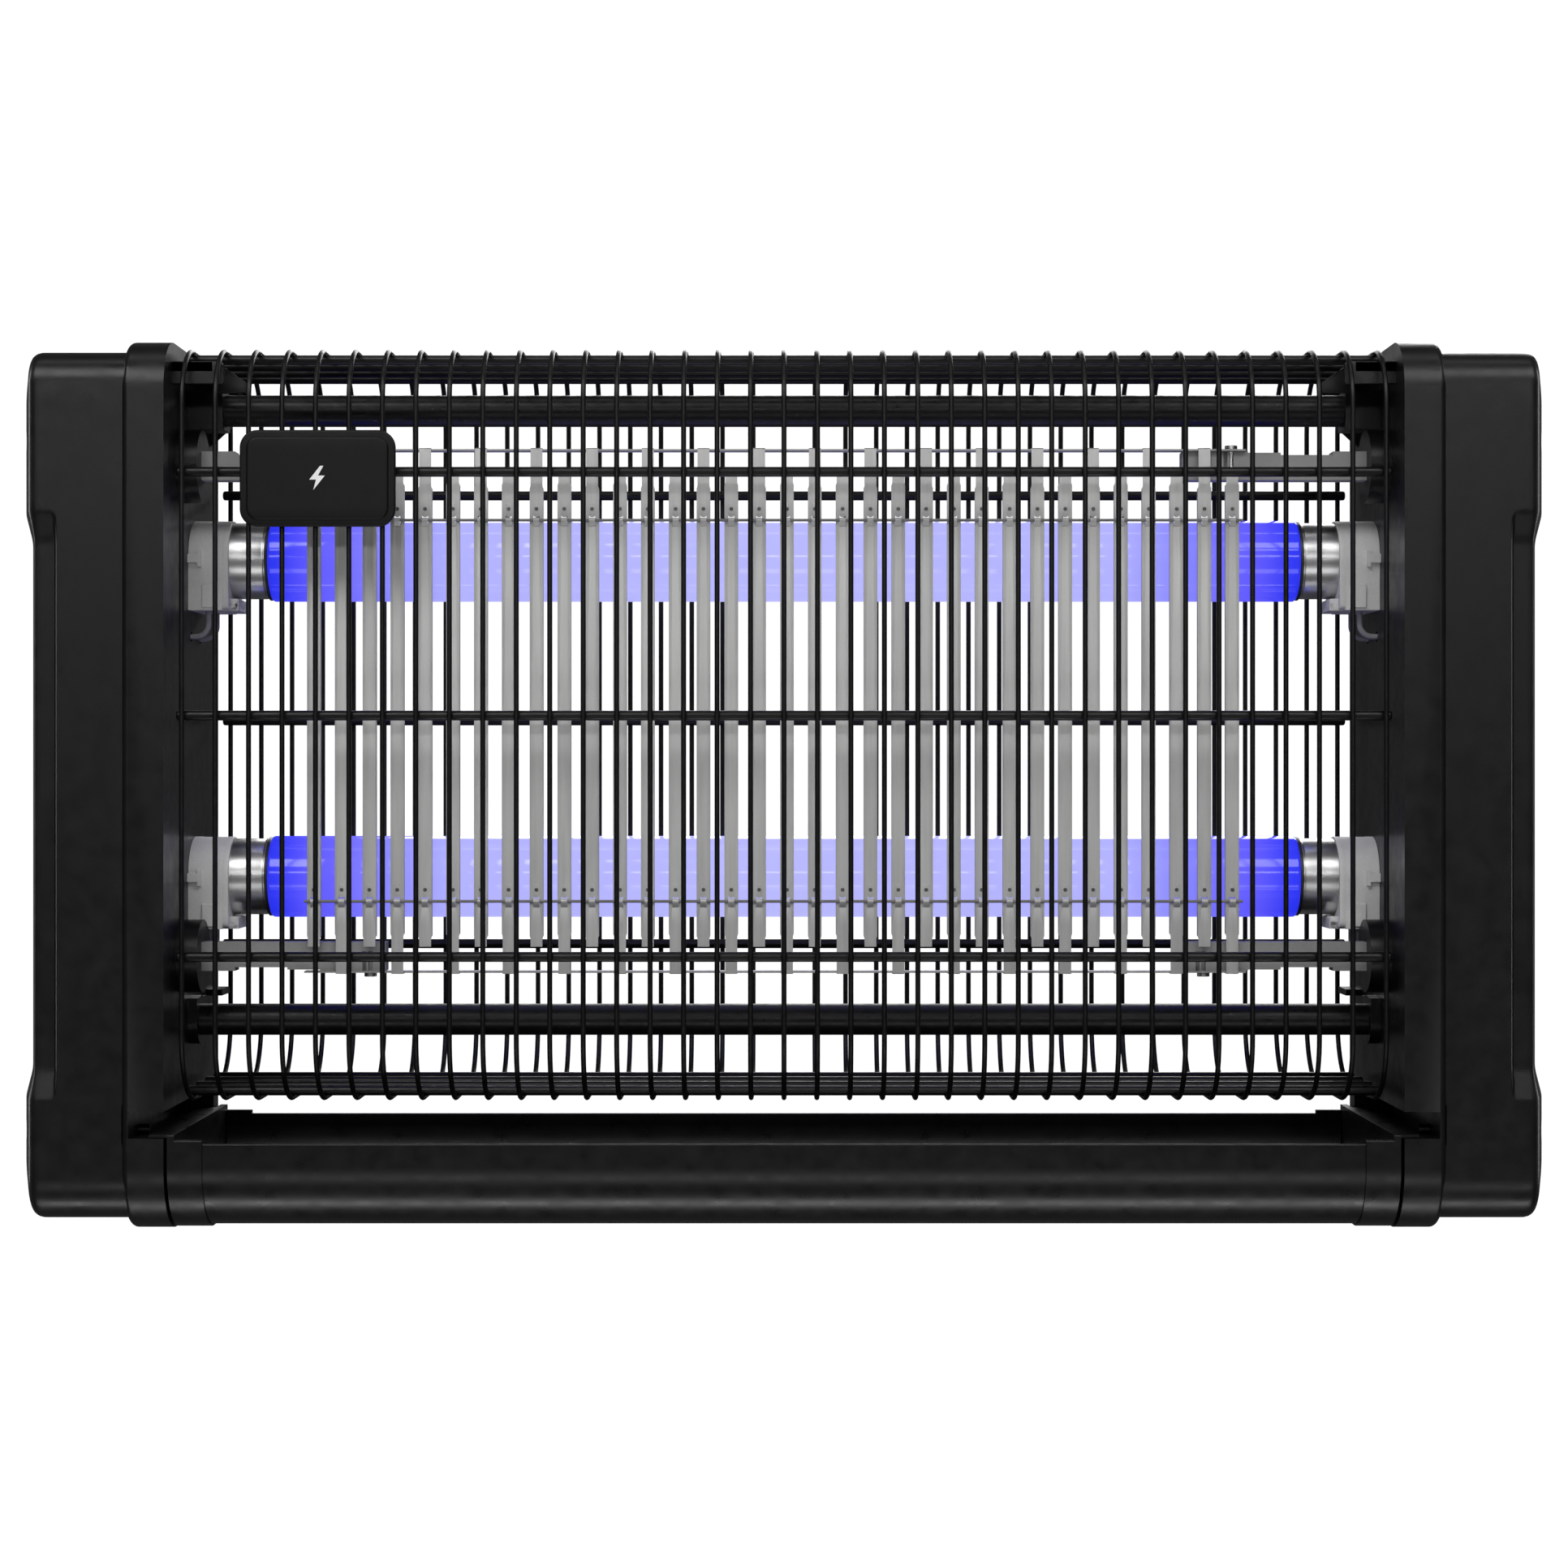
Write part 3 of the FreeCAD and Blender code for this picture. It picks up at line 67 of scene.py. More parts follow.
def set_camera():
    data = bpy.data.cameras.new("camera")
    data.lens = CAMERA_LENS
    data.sensor_width = CAMERA_SENSOR
    data.clip_start = 0.01
    data.clip_end = 60.0
    SCENE.camera = linked("camera", data)
    SCENE.camera.location = CAMERA_AT
    SCENE.camera.rotation_euler = (math.radians(90.0), 0.0, 0.0)


def soft_light(name, place, width, height, power):
    """A rectangular softbox at place that faces the middle of the object."""
    data = bpy.data.lights.new(name, "AREA")
    data.shape = "RECTANGLE"
    data.size = width
    data.size_y = height
    data.energy = power
    light = linked(name, data)
    light.location = place
    light.rotation_euler = (MIDDLE - light.location).to_track_quat("-Z", "Y").to_euler()


def camera_split(tree, unseen, seen, out):
    """The camera sees one shader, and every other ray meets the other."""
    path = tree.nodes.new("ShaderNodeLightPath")
    mixed = tree.nodes.new("ShaderNodeMixShader")
    tree.links.new(path.outputs["Is Camera Ray"], mixed.inputs[0])
    tree.links.new(unseen.outputs[0], mixed.inputs[1])
    tree.links.new(seen.outputs[0], mixed.inputs[2])
    tree.links.new(mixed.outputs[0], out.inputs["Surface"])


def set_world():
    """White to look at, and a dim grey for what it adds to the light."""
    world = bpy.data.worlds.new("studio")
    world.use_nodes = True
    nodes = world.node_tree.nodes
    nodes.clear()
    grounds = []
    for strength in (WORLD_LIGHT, SHOWN_WHITE):
        ground = nodes.new("ShaderNodeBackground")
        ground.inputs["Color"].default_value = WHITE
        ground.inputs["Strength"].default_value = strength
        grounds.append(ground)
    camera_split(world.node_tree, *grounds, nodes.new("ShaderNodeOutputWorld"))
    SCENE.world = world


def set_floor():
    """A plain white floor: it shows white, and lets the light from below reach the object."""
    half = FLOOR_HALF
    mesh = bpy.data.meshes.new("floor")
    corners = [(-half, -half, 0.0), (half, -half, 0.0), (half, half, 0.0), (-half, half, 0.0)]
    mesh.from_pydata(corners, [], [(0, 1, 2, 3)])
    material = bpy.data.materials.new("pale_floor")
    material.use_nodes = True
    nodes = material.node_tree.nodes
    nodes.clear()
    clear = nodes.new("ShaderNodeBsdfTransparent")
    white = nodes.new("ShaderNodeEmission")
    white.inputs["Strength"].default_value = SHOWN_WHITE
    camera_split(material.node_tree, clear, white, nodes.new("ShaderNodeOutputMaterial"))
    mesh.materials.append(material)
    linked("floor", mesh)


set_camera()
set_world()
set_floor()
SCENE.view_settings.view_transform = "Standard"
SCENE.view_settings.look = "None"
soft_light("key_softbox", (-0.80, -1.35, 1.45), 1.3, 0.8, 19.0)
soft_light("fill_softbox", (0.85, -1.35, 1.45), 1.3, 0.8, 15.0)
soft_light("low_fill", (0.1, -1.60, -0.80), 1.8, 0.4, 5.0)
soft_light("top_strip", (0.0, -0.15, 1.65), 1.7, 0.18, 2.5)
soft_light("under_strip", (0.0, -0.32, -1.45), 1.7, 0.22, 9.5)
soft_light("left_strip", (-1.6, 0.25, 0.35), 0.35, 1.2, 9.0)
soft_light("right_strip", (1.6, 0.25, 0.35), 0.35, 1.2, 9.0)
soft_light("front_strip", (0.0, -2.2, 0.62), 2.4, 0.1, 6.5)
soft_light("rear_softbox", (0.3, 1.8, 1.1), 1.4, 1.0, 20.0)


# ---------------------------------------------------------------- finishes

MATERIALS = {}


class Finish:
    """A node material built step by step around one Principled shader, on Object coordinates."""

    def __init__(self, name):
        self.material = bpy.data.materials.new(name)
        self.material.use_nodes = True
        MATERIALS[name] = self.material
        self.nodes = self.material.node_tree.nodes
        self.links = self.material.node_tree.links
        self.shader = self.nodes["Principled BSDF"]
        self.place = self.nodes.new("ShaderNodeTexCoord").outputs["Object"]

    def feed(self, socket, value):
        """Links another node's output to the socket, or sets it to a number or a colour."""
        if isinstance(value, bpy.types.NodeSocket):
            self.links.new(value, socket)
        elif socket.type == "RGBA":
            socket.default_value = (*value, 1.0)
        else:
            socket.default_value = value

    def put(self, socket, value):
        self.feed(self.shader.inputs[socket], value)

    def node(self, kind, **inputs):
        node = self.nodes.new(kind)
        for name, value in inputs.items():
            self.feed(node.inputs[name.replace("_", " ")], value)
        return node

    def noise(self, scale, detail=3.0, stretch=(1.0, 1.0, 1.0), rough=0.55):
        where = self.node("ShaderNodeMapping", Vector=self.place, Scale=stretch).outputs[0]
        return self.node(
            "ShaderNodeTexNoise", Vector=where, Scale=scale, Detail=detail, Roughness=rough
        ).outputs["Fac"]

    def ramp(self, value, stops):
        """Colours by value: stops is a list of (position, (r, g, b))."""
        node = self.node("ShaderNodeValToRGB", Fac=value)
        points = node.color_ramp.elements
        while len(points) < len(stops):
            points.new(0.5)
        for point, (position, colour) in zip(points, stops):
            point.position = position
            point.color = (*colour, 1.0)
        return node.outputs["Color"]

    def tones(self, value, low, high):
        """From the low colour to the high one as value goes from 0.3 to 0.7."""
        return self.ramp(value, [(0.3, low), (0.7, high)])

    def spread(self, value, low, high, start=0.3, end=0.7):
        """value, from start to end, as a number from low to high."""
        node = self.node(
            "ShaderNodeMapRange", Value=value, From_Min=start, From_Max=end, To_Min=low, To_Max=high
        )
        return node.outputs["Result"]

    def maths(self, operation, first, second=0.0):
        node = self.nodes.new("ShaderNodeMath")
        node.operation = operation
        self.feed(node.inputs[0], first)
        self.feed(node.inputs[1], second)
        return node.outputs[0]

    def times(self, first, second):
        """Two colours multiplied."""
        node = self.nodes.new("ShaderNodeMix")
        node.data_type = "RGBA"
        node.blend_type = "MULTIPLY"
        node.inputs[0].default_value = 1.0
        self.links.new(first, node.inputs[6])
        self.links.new(second, node.inputs[7])
        return node.outputs[2]

    def along_x(self):
        return self.node("ShaderNodeSeparateXYZ", Vector=self.place).outputs[0]

    def bump(self, height, distance, strength=1.0, under=None):
        node = self.node("ShaderNodeBump", Height=height, Distance=distance, Strength=strength)
        if under is not None:
            self.links.new(under, node.inputs["Normal"])
        return node.outputs["Normal"]


def grey(value, tint=(1.0, 1.0, 1.0)):
    return tuple(value * t for t in tint)


def moulded_black(name, tone=0.0040, rough=0.33, grain=2600.0, grain_depth=0.00002, specular=0.31):
    """Black ABS with a fine spark-eroded grain and a faint cloudiness."""
    f = Finish(name)
    cloud = f.noise(22.0, 4.0)
    fine = f.noise(grain, 2.0)
    tone_low = grey(tone * 0.84)
    tone_high = grey(tone * 1.16, (1.0, 1.0, 1.02))
    base = f.tones(cloud, tone_low, tone_high)
    speck = f.ramp(fine, [(0.35, grey(0.88)), (0.65, grey(1.12))])
    f.put("Base Color", f.times(base, speck))
    f.put("Roughness", f.spread(f.noise(160.0, 3.0), rough - 0.05, rough + 0.06))
    f.put("Specular IOR Level", specular)
    wave = f.bump(f.noise(30.0, 2.0), 0.00005, 0.4)
    f.put("Normal", f.bump(fine, grain_depth, 0.8, wave))


def coated_wire(name, tone=0.0036, rough=0.36):
    """Steel wire dipped in black plastic: smooth, with a slight orange peel."""
    f = Finish(name)
    peel = f.noise(420.0, 2.0)
    base = f.tones(f.noise(55.0, 3.0), grey(tone * 0.8), grey(tone * 1.25))
    f.put("Base Color", base)
    f.put("Roughness", f.spread(peel, rough - 0.07, rough + 0.08))
    f.put("Specular IOR Level", 0.26)
    f.put("Normal", f.bump(peel, 0.00006, 0.6))


def sheet_steel(name, tone=0.50):
    """Zinc-plated strip steel: satin, with a fine rolling grain along its length."""
    f = Finish(name)
    rolled = f.noise(900.0, 3.0, (1.0, 1.0, 0.05))
    cloud = f.noise(45.0, 4.0, (1.0, 1.0, 0.35))
    base = f.ramp(cloud, [(0.28, grey(tone * 0.88)), (0.72, grey(tone * 1.10, (1.0, 1.0, 0.985)))])
    streak = f.tones(rolled, grey(0.94), grey(1.05))
    f.put("Base Color", f.times(base, streak))
    f.put("Metallic", 0.35)
    f.put("Roughness", f.spread(rolled, 0.42, 0.56))
    f.put("Normal", f.bump(rolled, 0.00002, 0.5))


def grey_polymer(name, tone, tint=(1.0, 1.0, 0.985), rough=0.5):
    """Glass-filled grey polymer: matt, faintly mottled."""
    f = Finish(name)
    cloud = f.noise(60.0, 4.0)
    fine = f.noise(2200.0, 2.0)
    base = f.tones(cloud, grey(tone * 0.9, tint), grey(tone * 1.08, tint))
    speck = f.tones(fine, grey(0.95), grey(1.04))
    f.put("Base Color", f.times(base, speck))
    f.put("Roughness", f.spread(f.noise(200.0, 2.0), rough - 0.05, rough + 0.07))
    f.put("Specular IOR Level", 0.35)
    f.put("Normal", f.bump(fine, 0.00003, 0.6))


LIT_HALF = 0.165


def lit_glass(name):
    """Phosphor-coated ultraviolet tube, lit: pale in the middle, deep blue at the ends."""
    f = Finish(name)
    along = f.maths("ABSOLUTE", f.along_x())
    glow = f.ramp(f.maths("DIVIDE", along, LIT_HALF), [
        (0.0, (0.500, 0.500, 1.0)),
        (0.62, (0.455, 0.455, 1.0)),
        (0.74, (0.265, 0.262, 1.0)),
        (0.84, (0.150, 0.130, 1.0)),
        (0.90, (0.100, 0.090, 0.99)),
        (0.955, (0.024, 0.034, 0.92)),
        (1.0, (0.010, 0.018, 0.62)),
    ])
    mottle = f.tones(f.noise(70.0, 3.0), grey(0.975), grey(1.02))
    f.put("Base Color", (0.02, 0.02, 0.10))
    f.put("Emission Color", f.times(glow, mottle))
    f.put("Emission Strength", 0.97)
    f.put("Roughness", f.spread(f.noise(120.0, 2.0), 0.08, 0.14))
    f.put("Specular IOR Level", 0.5)
    f.put("Normal", f.bump(f.noise(260.0, 2.0), 0.00002, 0.4))


def turned_metal(name, tone=(0.70, 0.70, 0.70), rough=0.30):
    """Bright-plated aluminium with fine rings from drawing and turning."""
    f = Finish(name)
    rings = f.noise(2600.0, 2.0, (1.0, 0.01, 0.01))
    base = f.tones(rings, tuple(c * 0.93 for c in tone), tone)
    f.put("Base Color", base)
    f.put("Metallic", 1.0)
    f.put("Roughness", f.spread(rings, rough - 0.02, rough + 0.03))
    f.put("Normal", f.bump(rings, 0.000002, 0.12))


def plated_metal(name, low, high, rough=0.3, grain=500.0):
    """Plated or rolled metal with a mottled finish."""
    f = Finish(name)
    mottle = f.noise(grain, 3.0)
    f.put("Base Color", f.tones(mottle, low, high))
    f.put("Metallic", 1.0)
    f.put("Roughness", f.spread(f.noise(150.0, 3.0), rough - 0.08, rough + 0.1))
    f.put("Normal", f.bump(mottle, 0.00002, 0.5))


def clear_glass(name):
    """Clear stem glass with faint streaks."""
    f = Finish(name)
    streak = f.noise(300.0, 2.0, (0.2, 1.0, 1.0))
    f.put("Base Color", f.tones(streak, (0.86, 0.90, 0.92), (0.95, 0.97, 0.98)))
    f.put("Transmission Weight", 0.9)
    f.put("Roughness", f.spread(streak, 0.03, 0.08))
    f.put("IOR", 1.5)


def lead_sheath(name):
    """PVC-covered lead: satin black with a slightly wavy skin."""
    f = Finish(name)
    skin = f.noise(380.0, 3.0)
    f.put("Base Color", f.tones(skin, grey(0.010), grey(0.017)))
    f.put("Roughness", f.spread(skin, 0.34, 0.48))
    f.put("Specular IOR Level", 0.45)
    f.put("Normal", f.bump(skin, 0.00004, 0.6))


def circuit_board(name):
    """Green lacquered laminate with copper runs showing through."""
    f = Finish(name)
    weave = f.noise(1500.0, 2.0)
    runs = f.node("ShaderNodeTexVoronoi", Vector=f.place, Scale=190.0)
    runs.distance = "CHEBYCHEV"
    track = f.ramp(runs.outputs["Distance"], [(0.18, (0.10, 0.22, 0.07)), (0.24, (0.02, 0.09, 0.03))])
    shade = f.tones(weave, grey(0.85), grey(1.1))
    f.put("Base Color", f.times(track, shade))
    f.put("Roughness", f.spread(weave, 0.28, 0.42))
    f.put("Normal", f.bump(runs.outputs["Distance"], 0.00005, 0.4))


def wound_part(name, low, high, rough=0.55, turns=700.0):
    """Wound or moulded component body with fine ribbing."""
    f = Finish(name)
    ribs = f.noise(turns, 2.0, (0.1, 0.1, 1.0))
    f.put("Base Color", f.tones(ribs, low, high))
    f.put("Roughness", f.spread(f.noise(120.0, 3.0), rough - 0.1, rough + 0.08))
    f.put("Normal", f.bump(ribs, 0.00005, 0.6))


moulded_black("housing_black")
moulded_black("cover_black", tone=0.0042)
moulded_black("tray_black", tone=0.0036, rough=0.31, grain_depth=0.000006)
moulded_black("badge_black", tone=0.0042, rough=0.40, specular=0.18)
moulded_black("fitting_black", tone=0.0080, rough=0.38)
coated_wire("coated_wire")
coated_wire("painted_tube", tone=0.0042, rough=0.34)
sheet_steel("grid_steel")
sheet_steel("busbar_steel", tone=0.34)
grey_polymer("glass_fibre", 0.20, (1.0, 0.97, 1.0), 0.42)
grey_polymer("holder_grey", 0.74)
grey_polymer("insulator_grey", 0.25)
grey_polymer("rotor_grey", 0.30)
lit_glass("lit_glass")
turned_metal("cap_metal")
plated_metal("plated_steel", grey(0.42), grey(0.60))
plated_metal("black_oxide", grey(0.020), grey(0.034), 0.38)
plated_metal("brass", (0.50, 0.36, 0.12), (0.66, 0.50, 0.20), 0.28)
clear_glass("stem_glass")
lead_sheath("lead_sheath")
circuit_board("circuit_board")
wound_part("choke_tape", (0.45, 0.28, 0.05), (0.62, 0.42, 0.10))
wound_part("capacitor_film", (0.16, 0.03, 0.02), (0.26, 0.05, 0.03), 0.35)
wound_part("connector_nylon", (0.55, 0.53, 0.47), (0.68, 0.66, 0.60), 0.5)
# Dark plated finish for the pegs at the strips' pressed dimples: painted shade standing in for the shadow
# inside each dimple.
plated_metal("rivet_dark", grey(0.10), grey(0.16), 0.4)
grey_polymer("print_white", 0.86, (1.0, 1.0, 1.0), 0.55)
lead_sheath("collar_black")
grey_polymer("lamp_lead_grey", 0.30, (0.97, 0.97, 1.05), 0.45)
wound_part("ceramic_disc", (0.03, 0.10, 0.28), (0.05, 0.16, 0.38), 0.4)

NODE_FINISH = {
    "housing_black": ["left_end_frame", "right_end_frame"],
    "cover_black": ["left_outer_cover", "right_outer_cover"],
    "tray_black": ["tray_body", "left_tray_end", "right_tray_end"],
    "badge_black": ["badge"],
    "fitting_black": ["switch_housing", "switch_rocker", "mains_inlet", "left_terminal_block"],
    "coated_wire": ["guard_hoops", "guard_rods"],
    "painted_tube": ["upper_tie_tube", "lower_tie_tube"],
    "grid_steel": ["grid_strips_a", "grid_strips_b"],
    "busbar_steel": ["upper_busbar", "lower_busbar"],
    "glass_fibre": ["upper_spacer_rod", "lower_spacer_rod"],
    "holder_grey": [
        "upper_left_lamp_holder", "upper_right_lamp_holder",
        "lower_left_lamp_holder", "lower_right_lamp_holder",
    ],
    "insulator_grey": [
        "upper_left_insulator", "upper_right_insulator",
        "lower_left_insulator", "lower_right_insulator",
    ],
    "rotor_grey": ["upper_lamp_rotors", "lower_lamp_rotors"],
    "lit_glass": ["upper_lamp_glass", "lower_lamp_glass"],
    "cap_metal": ["upper_lamp_caps", "lower_lamp_caps"],
    "black_oxide": ["cover_screws"],
    "plated_steel": [
        "tie_tube_nuts", "insulator_screws", "busbar_screws", "holder_screws",
        "board_screws",
    ],
    "brass": ["upper_lamp_pins", "lower_lamp_pins", "lamp_contacts", "inlet_pins"],
    "stem_glass": ["upper_lamp_cathodes", "lower_lamp_cathodes"],
    "lamp_lead_grey": ["upper_lamp_leads", "lower_lamp_leads"],
    "lead_sheath": ["high_voltage_leads", "mains_leads", "crossover_cable"],
    "circuit_board": ["ballast_board", "high_voltage_board"],
    "choke_tape": ["ballast_chokes", "high_voltage_transformer"],
    "capacitor_film": ["ballast_capacitors"],
    "connector_nylon": ["board_connectors"],
    "ceramic_disc": ["high_voltage_capacitors"],
}

for finish, names in NODE_FINISH.items():
    for node_name in names:
        for slot in NODES[node_name].material_slots:
            slot.material = MATERIALS[finish]


# ---------------------------------------------------------------- mesh helpers

FRONT = (0.0, -1.0, 0.0)
BACK = (0.0, 1.0, 0.0)
RIGHT = (1.0, 0.0, 0.0)
UP = (0.0, 0.0, 1.0)
FACING_FRONT = (RIGHT, UP, FRONT)
FACING_RIGHT = (BACK, UP, RIGHT)
FACING_UP = (RIGHT, BACK, UP)
MERGE = 1e-7


def box_middle(node):
    """The middle of the node's box at rest."""
    return [(a + b) / 2 for a, b in zip(*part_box(node))]


def angles(*degrees):
    return [math.radians(v) for v in degrees]


def shift(mesh, by):
    mesh.transform(Matrix.Translation(by))


def outward(mesh, merge=0.0):
    """mesh with its faces turned outwards, after points nearer than merge are joined."""
    work = bmesh.new()
    work.from_mesh(mesh)
    if merge:
        bmesh.ops.remove_doubles(work, verts=work.verts, dist=merge)
    bmesh.ops.recalc_face_normals(work, faces=work.faces)
    work.to_mesh(mesh)
    work.free()
    return mesh


def finished(name, carrier):
    """The carrier's shape as a plain mesh. The carrier and its modifiers go."""
    graph = bpy.context.evaluated_depsgraph_get()
    mesh = bpy.data.meshes.new_from_object(carrier.evaluated_get(graph))
    mesh.name = name
    bpy.data.objects.remove(carrier)
    return mesh


def to_object(name, mesh, finish, body, replaced=()):
    """Links mesh as a finished piece that rides on body and stands for the replaced nodes."""
    if finish is not None:
        mesh.materials.clear()
        mesh.materials.append(MATERIALS[finish])
    piece = linked(name, mesh)
    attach(piece, body)
    if replaced:
        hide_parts(*replaced)


def smooth(mesh, degrees=35.0):
    """Smooth shading, with a crease at each edge sharper than degrees."""
    mesh.shade_smooth()
    mesh.set_sharp_from_angle(angle=math.radians(degrees))
    return mesh


def joined(name, meshes):
    """One mesh from several."""
    work = bmesh.new()
    for mesh in meshes:
        work.from_mesh(mesh)
    result = bpy.data.meshes.new(name)
    work.to_mesh(result)
    work.free()
    return result


def applied(name, mesh, setup):
    """mesh after the modifiers that setup(object) adds to it."""
    carrier = linked(name + "_work", mesh)
    setup(carrier)
    return finished(name, carrier)


def plate(name, loops, thickness, bevel, facing, resolution=3):
    """A flat plate with holes from closed loops of (u, v), with rounded rims.

    facing holds the directions of u, v and the thickness, which starts at 0.
    """
    outline = bpy.data.curves.new(name + "_outline", "CURVE")
    outline.dimensions = "2D"
    outline.fill_mode = "BOTH"
    outline.extrude = thickness / 2 - bevel
    outline.bevel_depth = bevel
    outline.bevel_resolution = resolution
    outline.offset = -bevel
    for loop in loops:
        spline = outline.splines.new("POLY")
        spline.points.add(len(loop) - 1)
        for point, (u, v) in zip(spline.points, loop):
            point.co = (u, v, 0.0, 1.0)
        spline.use_cyclic_u = True
    mesh = finished(name, linked(name + "_curve", outline))
    mesh.transform(Matrix(facing).transposed().to_4x4() @ Matrix.Translation((0.0, 0.0, thickness / 2)))
    return outward(mesh, MERGE)


def arc(centre, radius, start, end, steps):
    """Points along an arc, both ends included, angles in degrees."""
    points = []
    for i in range(steps + 1):
        angle = math.radians(start + (end - start) * i / steps)
        points.append((centre[0] + radius * math.cos(angle), centre[1] + radius * math.sin(angle)))
    return points


def rounded_loop(u, v, radii, steps=8):
    """A closed loop round a rectangle, corners (low-low, high-low, high-high, low-high)."""
    corners = [(u[0], v[0], 180), (u[1], v[0], 270), (u[1], v[1], 0), (u[0], v[1], 90)]
    loop = []
    for (cu, cv, start), radius in zip(corners, radii):
        centre = (cu + (radius if cu == u[0] else -radius), cv + (radius if cv == v[0] else -radius))
        loop += arc(centre, radius, start, start + 90, steps)
    return loop


def lathe_x(name, profile, y, z, sides=56):
    """A closed ring turned about the line along X through (y, z); profile is (x, radius) pairs."""
    verts = []
    faces = []
    count = len(profile)
    for i in range(sides):
        angle = 2 * math.pi * i / sides
        for x, radius in profile:
            verts.append((x, y + radius * math.cos(angle), z + radius * math.sin(angle)))
    for i in range(sides):
        after = (i + 1) % sides
        for j in range(count):
            k = (j + 1) % count
            faces.append((i * count + j, i * count + k, after * count + k, after * count + j))
    mesh = bpy.data.meshes.new(name)
    mesh.from_pydata(verts, [], faces)
    return outward(mesh, MERGE)


def prism(name, near, far):
    """A solid between two matching closed sections."""
    count = len(near)
    faces = [tuple(range(count)), tuple(range(count, 2 * count))]
    faces += [(i, (i + 1) % count, count + (i + 1) % count, count + i) for i in range(count)]
    mesh = bpy.data.meshes.new(name)
    mesh.from_pydata(near + far, [], faces)
    return outward(mesh)


def mirrored_x(mesh):
    """A copy for the left-hand end, faces outwards."""
    copy = mesh.copy()
    copy.transform(Matrix.Scale(-1.0, 4, RIGHT))
    copy.flip_normals()
    return copy


def both_ends(name, *meshes):
    """Right-hand meshes and their mirror images as one mesh."""
    return joined(name, [part for mesh in meshes for part in (mesh, mirrored_x(mesh))])


def softened(node, width, finish, body, segments=2, steps=()):
    """The node's own shape, after any cuts in steps, with its moulded edges rounded by width."""
    work = bmesh.new()
    work.from_mesh(NODES[node].data)
    bmesh.ops.remove_doubles(work, verts=work.verts, dist=2e-6)
    bmesh.ops.dissolve_limit(
        work, angle_limit=math.radians(0.6), verts=work.verts, edges=work.edges,
        use_dissolve_boundaries=False,
    )
    merged = bpy.data.meshes.new(node + "_merged")
    work.to_mesh(merged)
    work.free()
    if steps:
        merged = cut_and_fill(node + "_cut", merged, steps)
    smooth(merged, 38.0)

    def edge_round(carrier):
        bevel = carrier.modifiers.new("edges", "BEVEL")
        bevel.width = width
        bevel.segments = segments
        bevel.limit_method = "ANGLE"
        bevel.angle_limit = math.radians(40.0)
        bevel.use_clamp_overlap = True
        flat = carrier.modifiers.new("flat_faces", "WEIGHTED_NORMAL")
        flat.mode = "FACE_AREA"
        flat.weight = 60
        flat.keep_sharp = True

    mesh = applied(node + "_soft", merged, edge_round)
    to_object(node + "_moulding", mesh, finish, body, (node,))


# ---------------------------------------------------------------- repeating with Geometry Nodes

def new_tree(name, inputs):
    """A tree with geometry in and out and named inputs, and the inputs' identifiers by name."""
    tree = bpy.data.node_groups.new(name, "GeometryNodeTree")
    sockets = tree.interface
    sockets.new_socket(name="Geometry", in_out="INPUT", socket_type="NodeSocketGeometry")
    ids = {}
    for label, kind, value in inputs:
        socket = sockets.new_socket(name=label, in_out="INPUT", socket_type="NodeSocket" + kind)
        if value is not None:
            socket.default_value = value
        ids[label] = socket.identifier
    sockets.new_socket(name="Geometry", in_out="OUTPUT", socket_type="NodeSocketGeometry")
    return tree, ids


def grown(name, base, tree, ids, values):
    """The mesh that the tree makes from the base mesh with these inputs."""
    carrier = linked(name + "_carrier", base)
    modifier = carrier.modifiers.new(name, "NODES")
    modifier.node_group = tree
    for label, value in values.items():
        modifier[ids[label]] = value
    return finished(name, carrier)


def wired(tree, rows):
    """Links each row's output of the first node to its input of the second."""
    for source, output, target, socket in rows:
        tree.links.new(source.outputs[output], target.inputs[socket])


def repeat_tree():
    """Puts copies of a part at the points of the carrier mesh, turned by its 'turn' attribute."""
    tree, ids = new_tree("repeat_part", [
        ("Part", "Object", None), ("Finish", "Material", None), ("Size", "Float", 1.0),
    ])
    nodes = tree.nodes
    start = nodes.new("NodeGroupInput")
    end = nodes.new("NodeGroupOutput")
    part = nodes.new("GeometryNodeObjectInfo")
    turn = nodes.new("GeometryNodeInputNamedAttribute")
    turn.data_type = "FLOAT_VECTOR"
    turn.inputs["Name"].default_value = "turn"
    spin = nodes.new("FunctionNodeEulerToRotation")
    place = nodes.new("GeometryNodeInstanceOnPoints")
    real = nodes.new("GeometryNodeRealizeInstances")
    coat = nodes.new("GeometryNodeSetMaterial")
    wired(tree, [
        (start, "Geometry", place, "Points"),
        (start, "Part", part, "Object"),
        (part, "Geometry", place, "Instance"),
        (turn, "Attribute", spin, 0),
        (spin, 0, place, "Rotation"),
        (start, "Size", place, "Scale"),
        (place, 0, real, 0),
        (real, 0, coat, "Geometry"),
        (start, "Finish", coat, "Material"),
        (coat, 0, end, 0),
    ])
    return tree, ids


REPEAT, REPEAT_IDS = repeat_tree()


def repeated(name, part_mesh, places, finish, turns=None):
    """part_mesh, made about the origin, copied to every place by Geometry Nodes, as one mesh."""
    part = linked(name + "_part", part_mesh)
    points = bpy.data.meshes.new(name + "_places")
    points.from_pydata([tuple(p) for p in places], [], [])
    attribute = points.attributes.new("turn", "FLOAT_VECTOR", "POINT")
    for i in range(len(places)):
        attribute.data[i].vector = turns[i] if turns else (0.0, 0.0, 0.0)
    values = {"Part": part, "Finish": MATERIALS[finish], "Size": 1.0}
    mesh = grown(name, points, REPEAT, REPEAT_IDS, values)
    bpy.data.objects.remove(part)
    return mesh


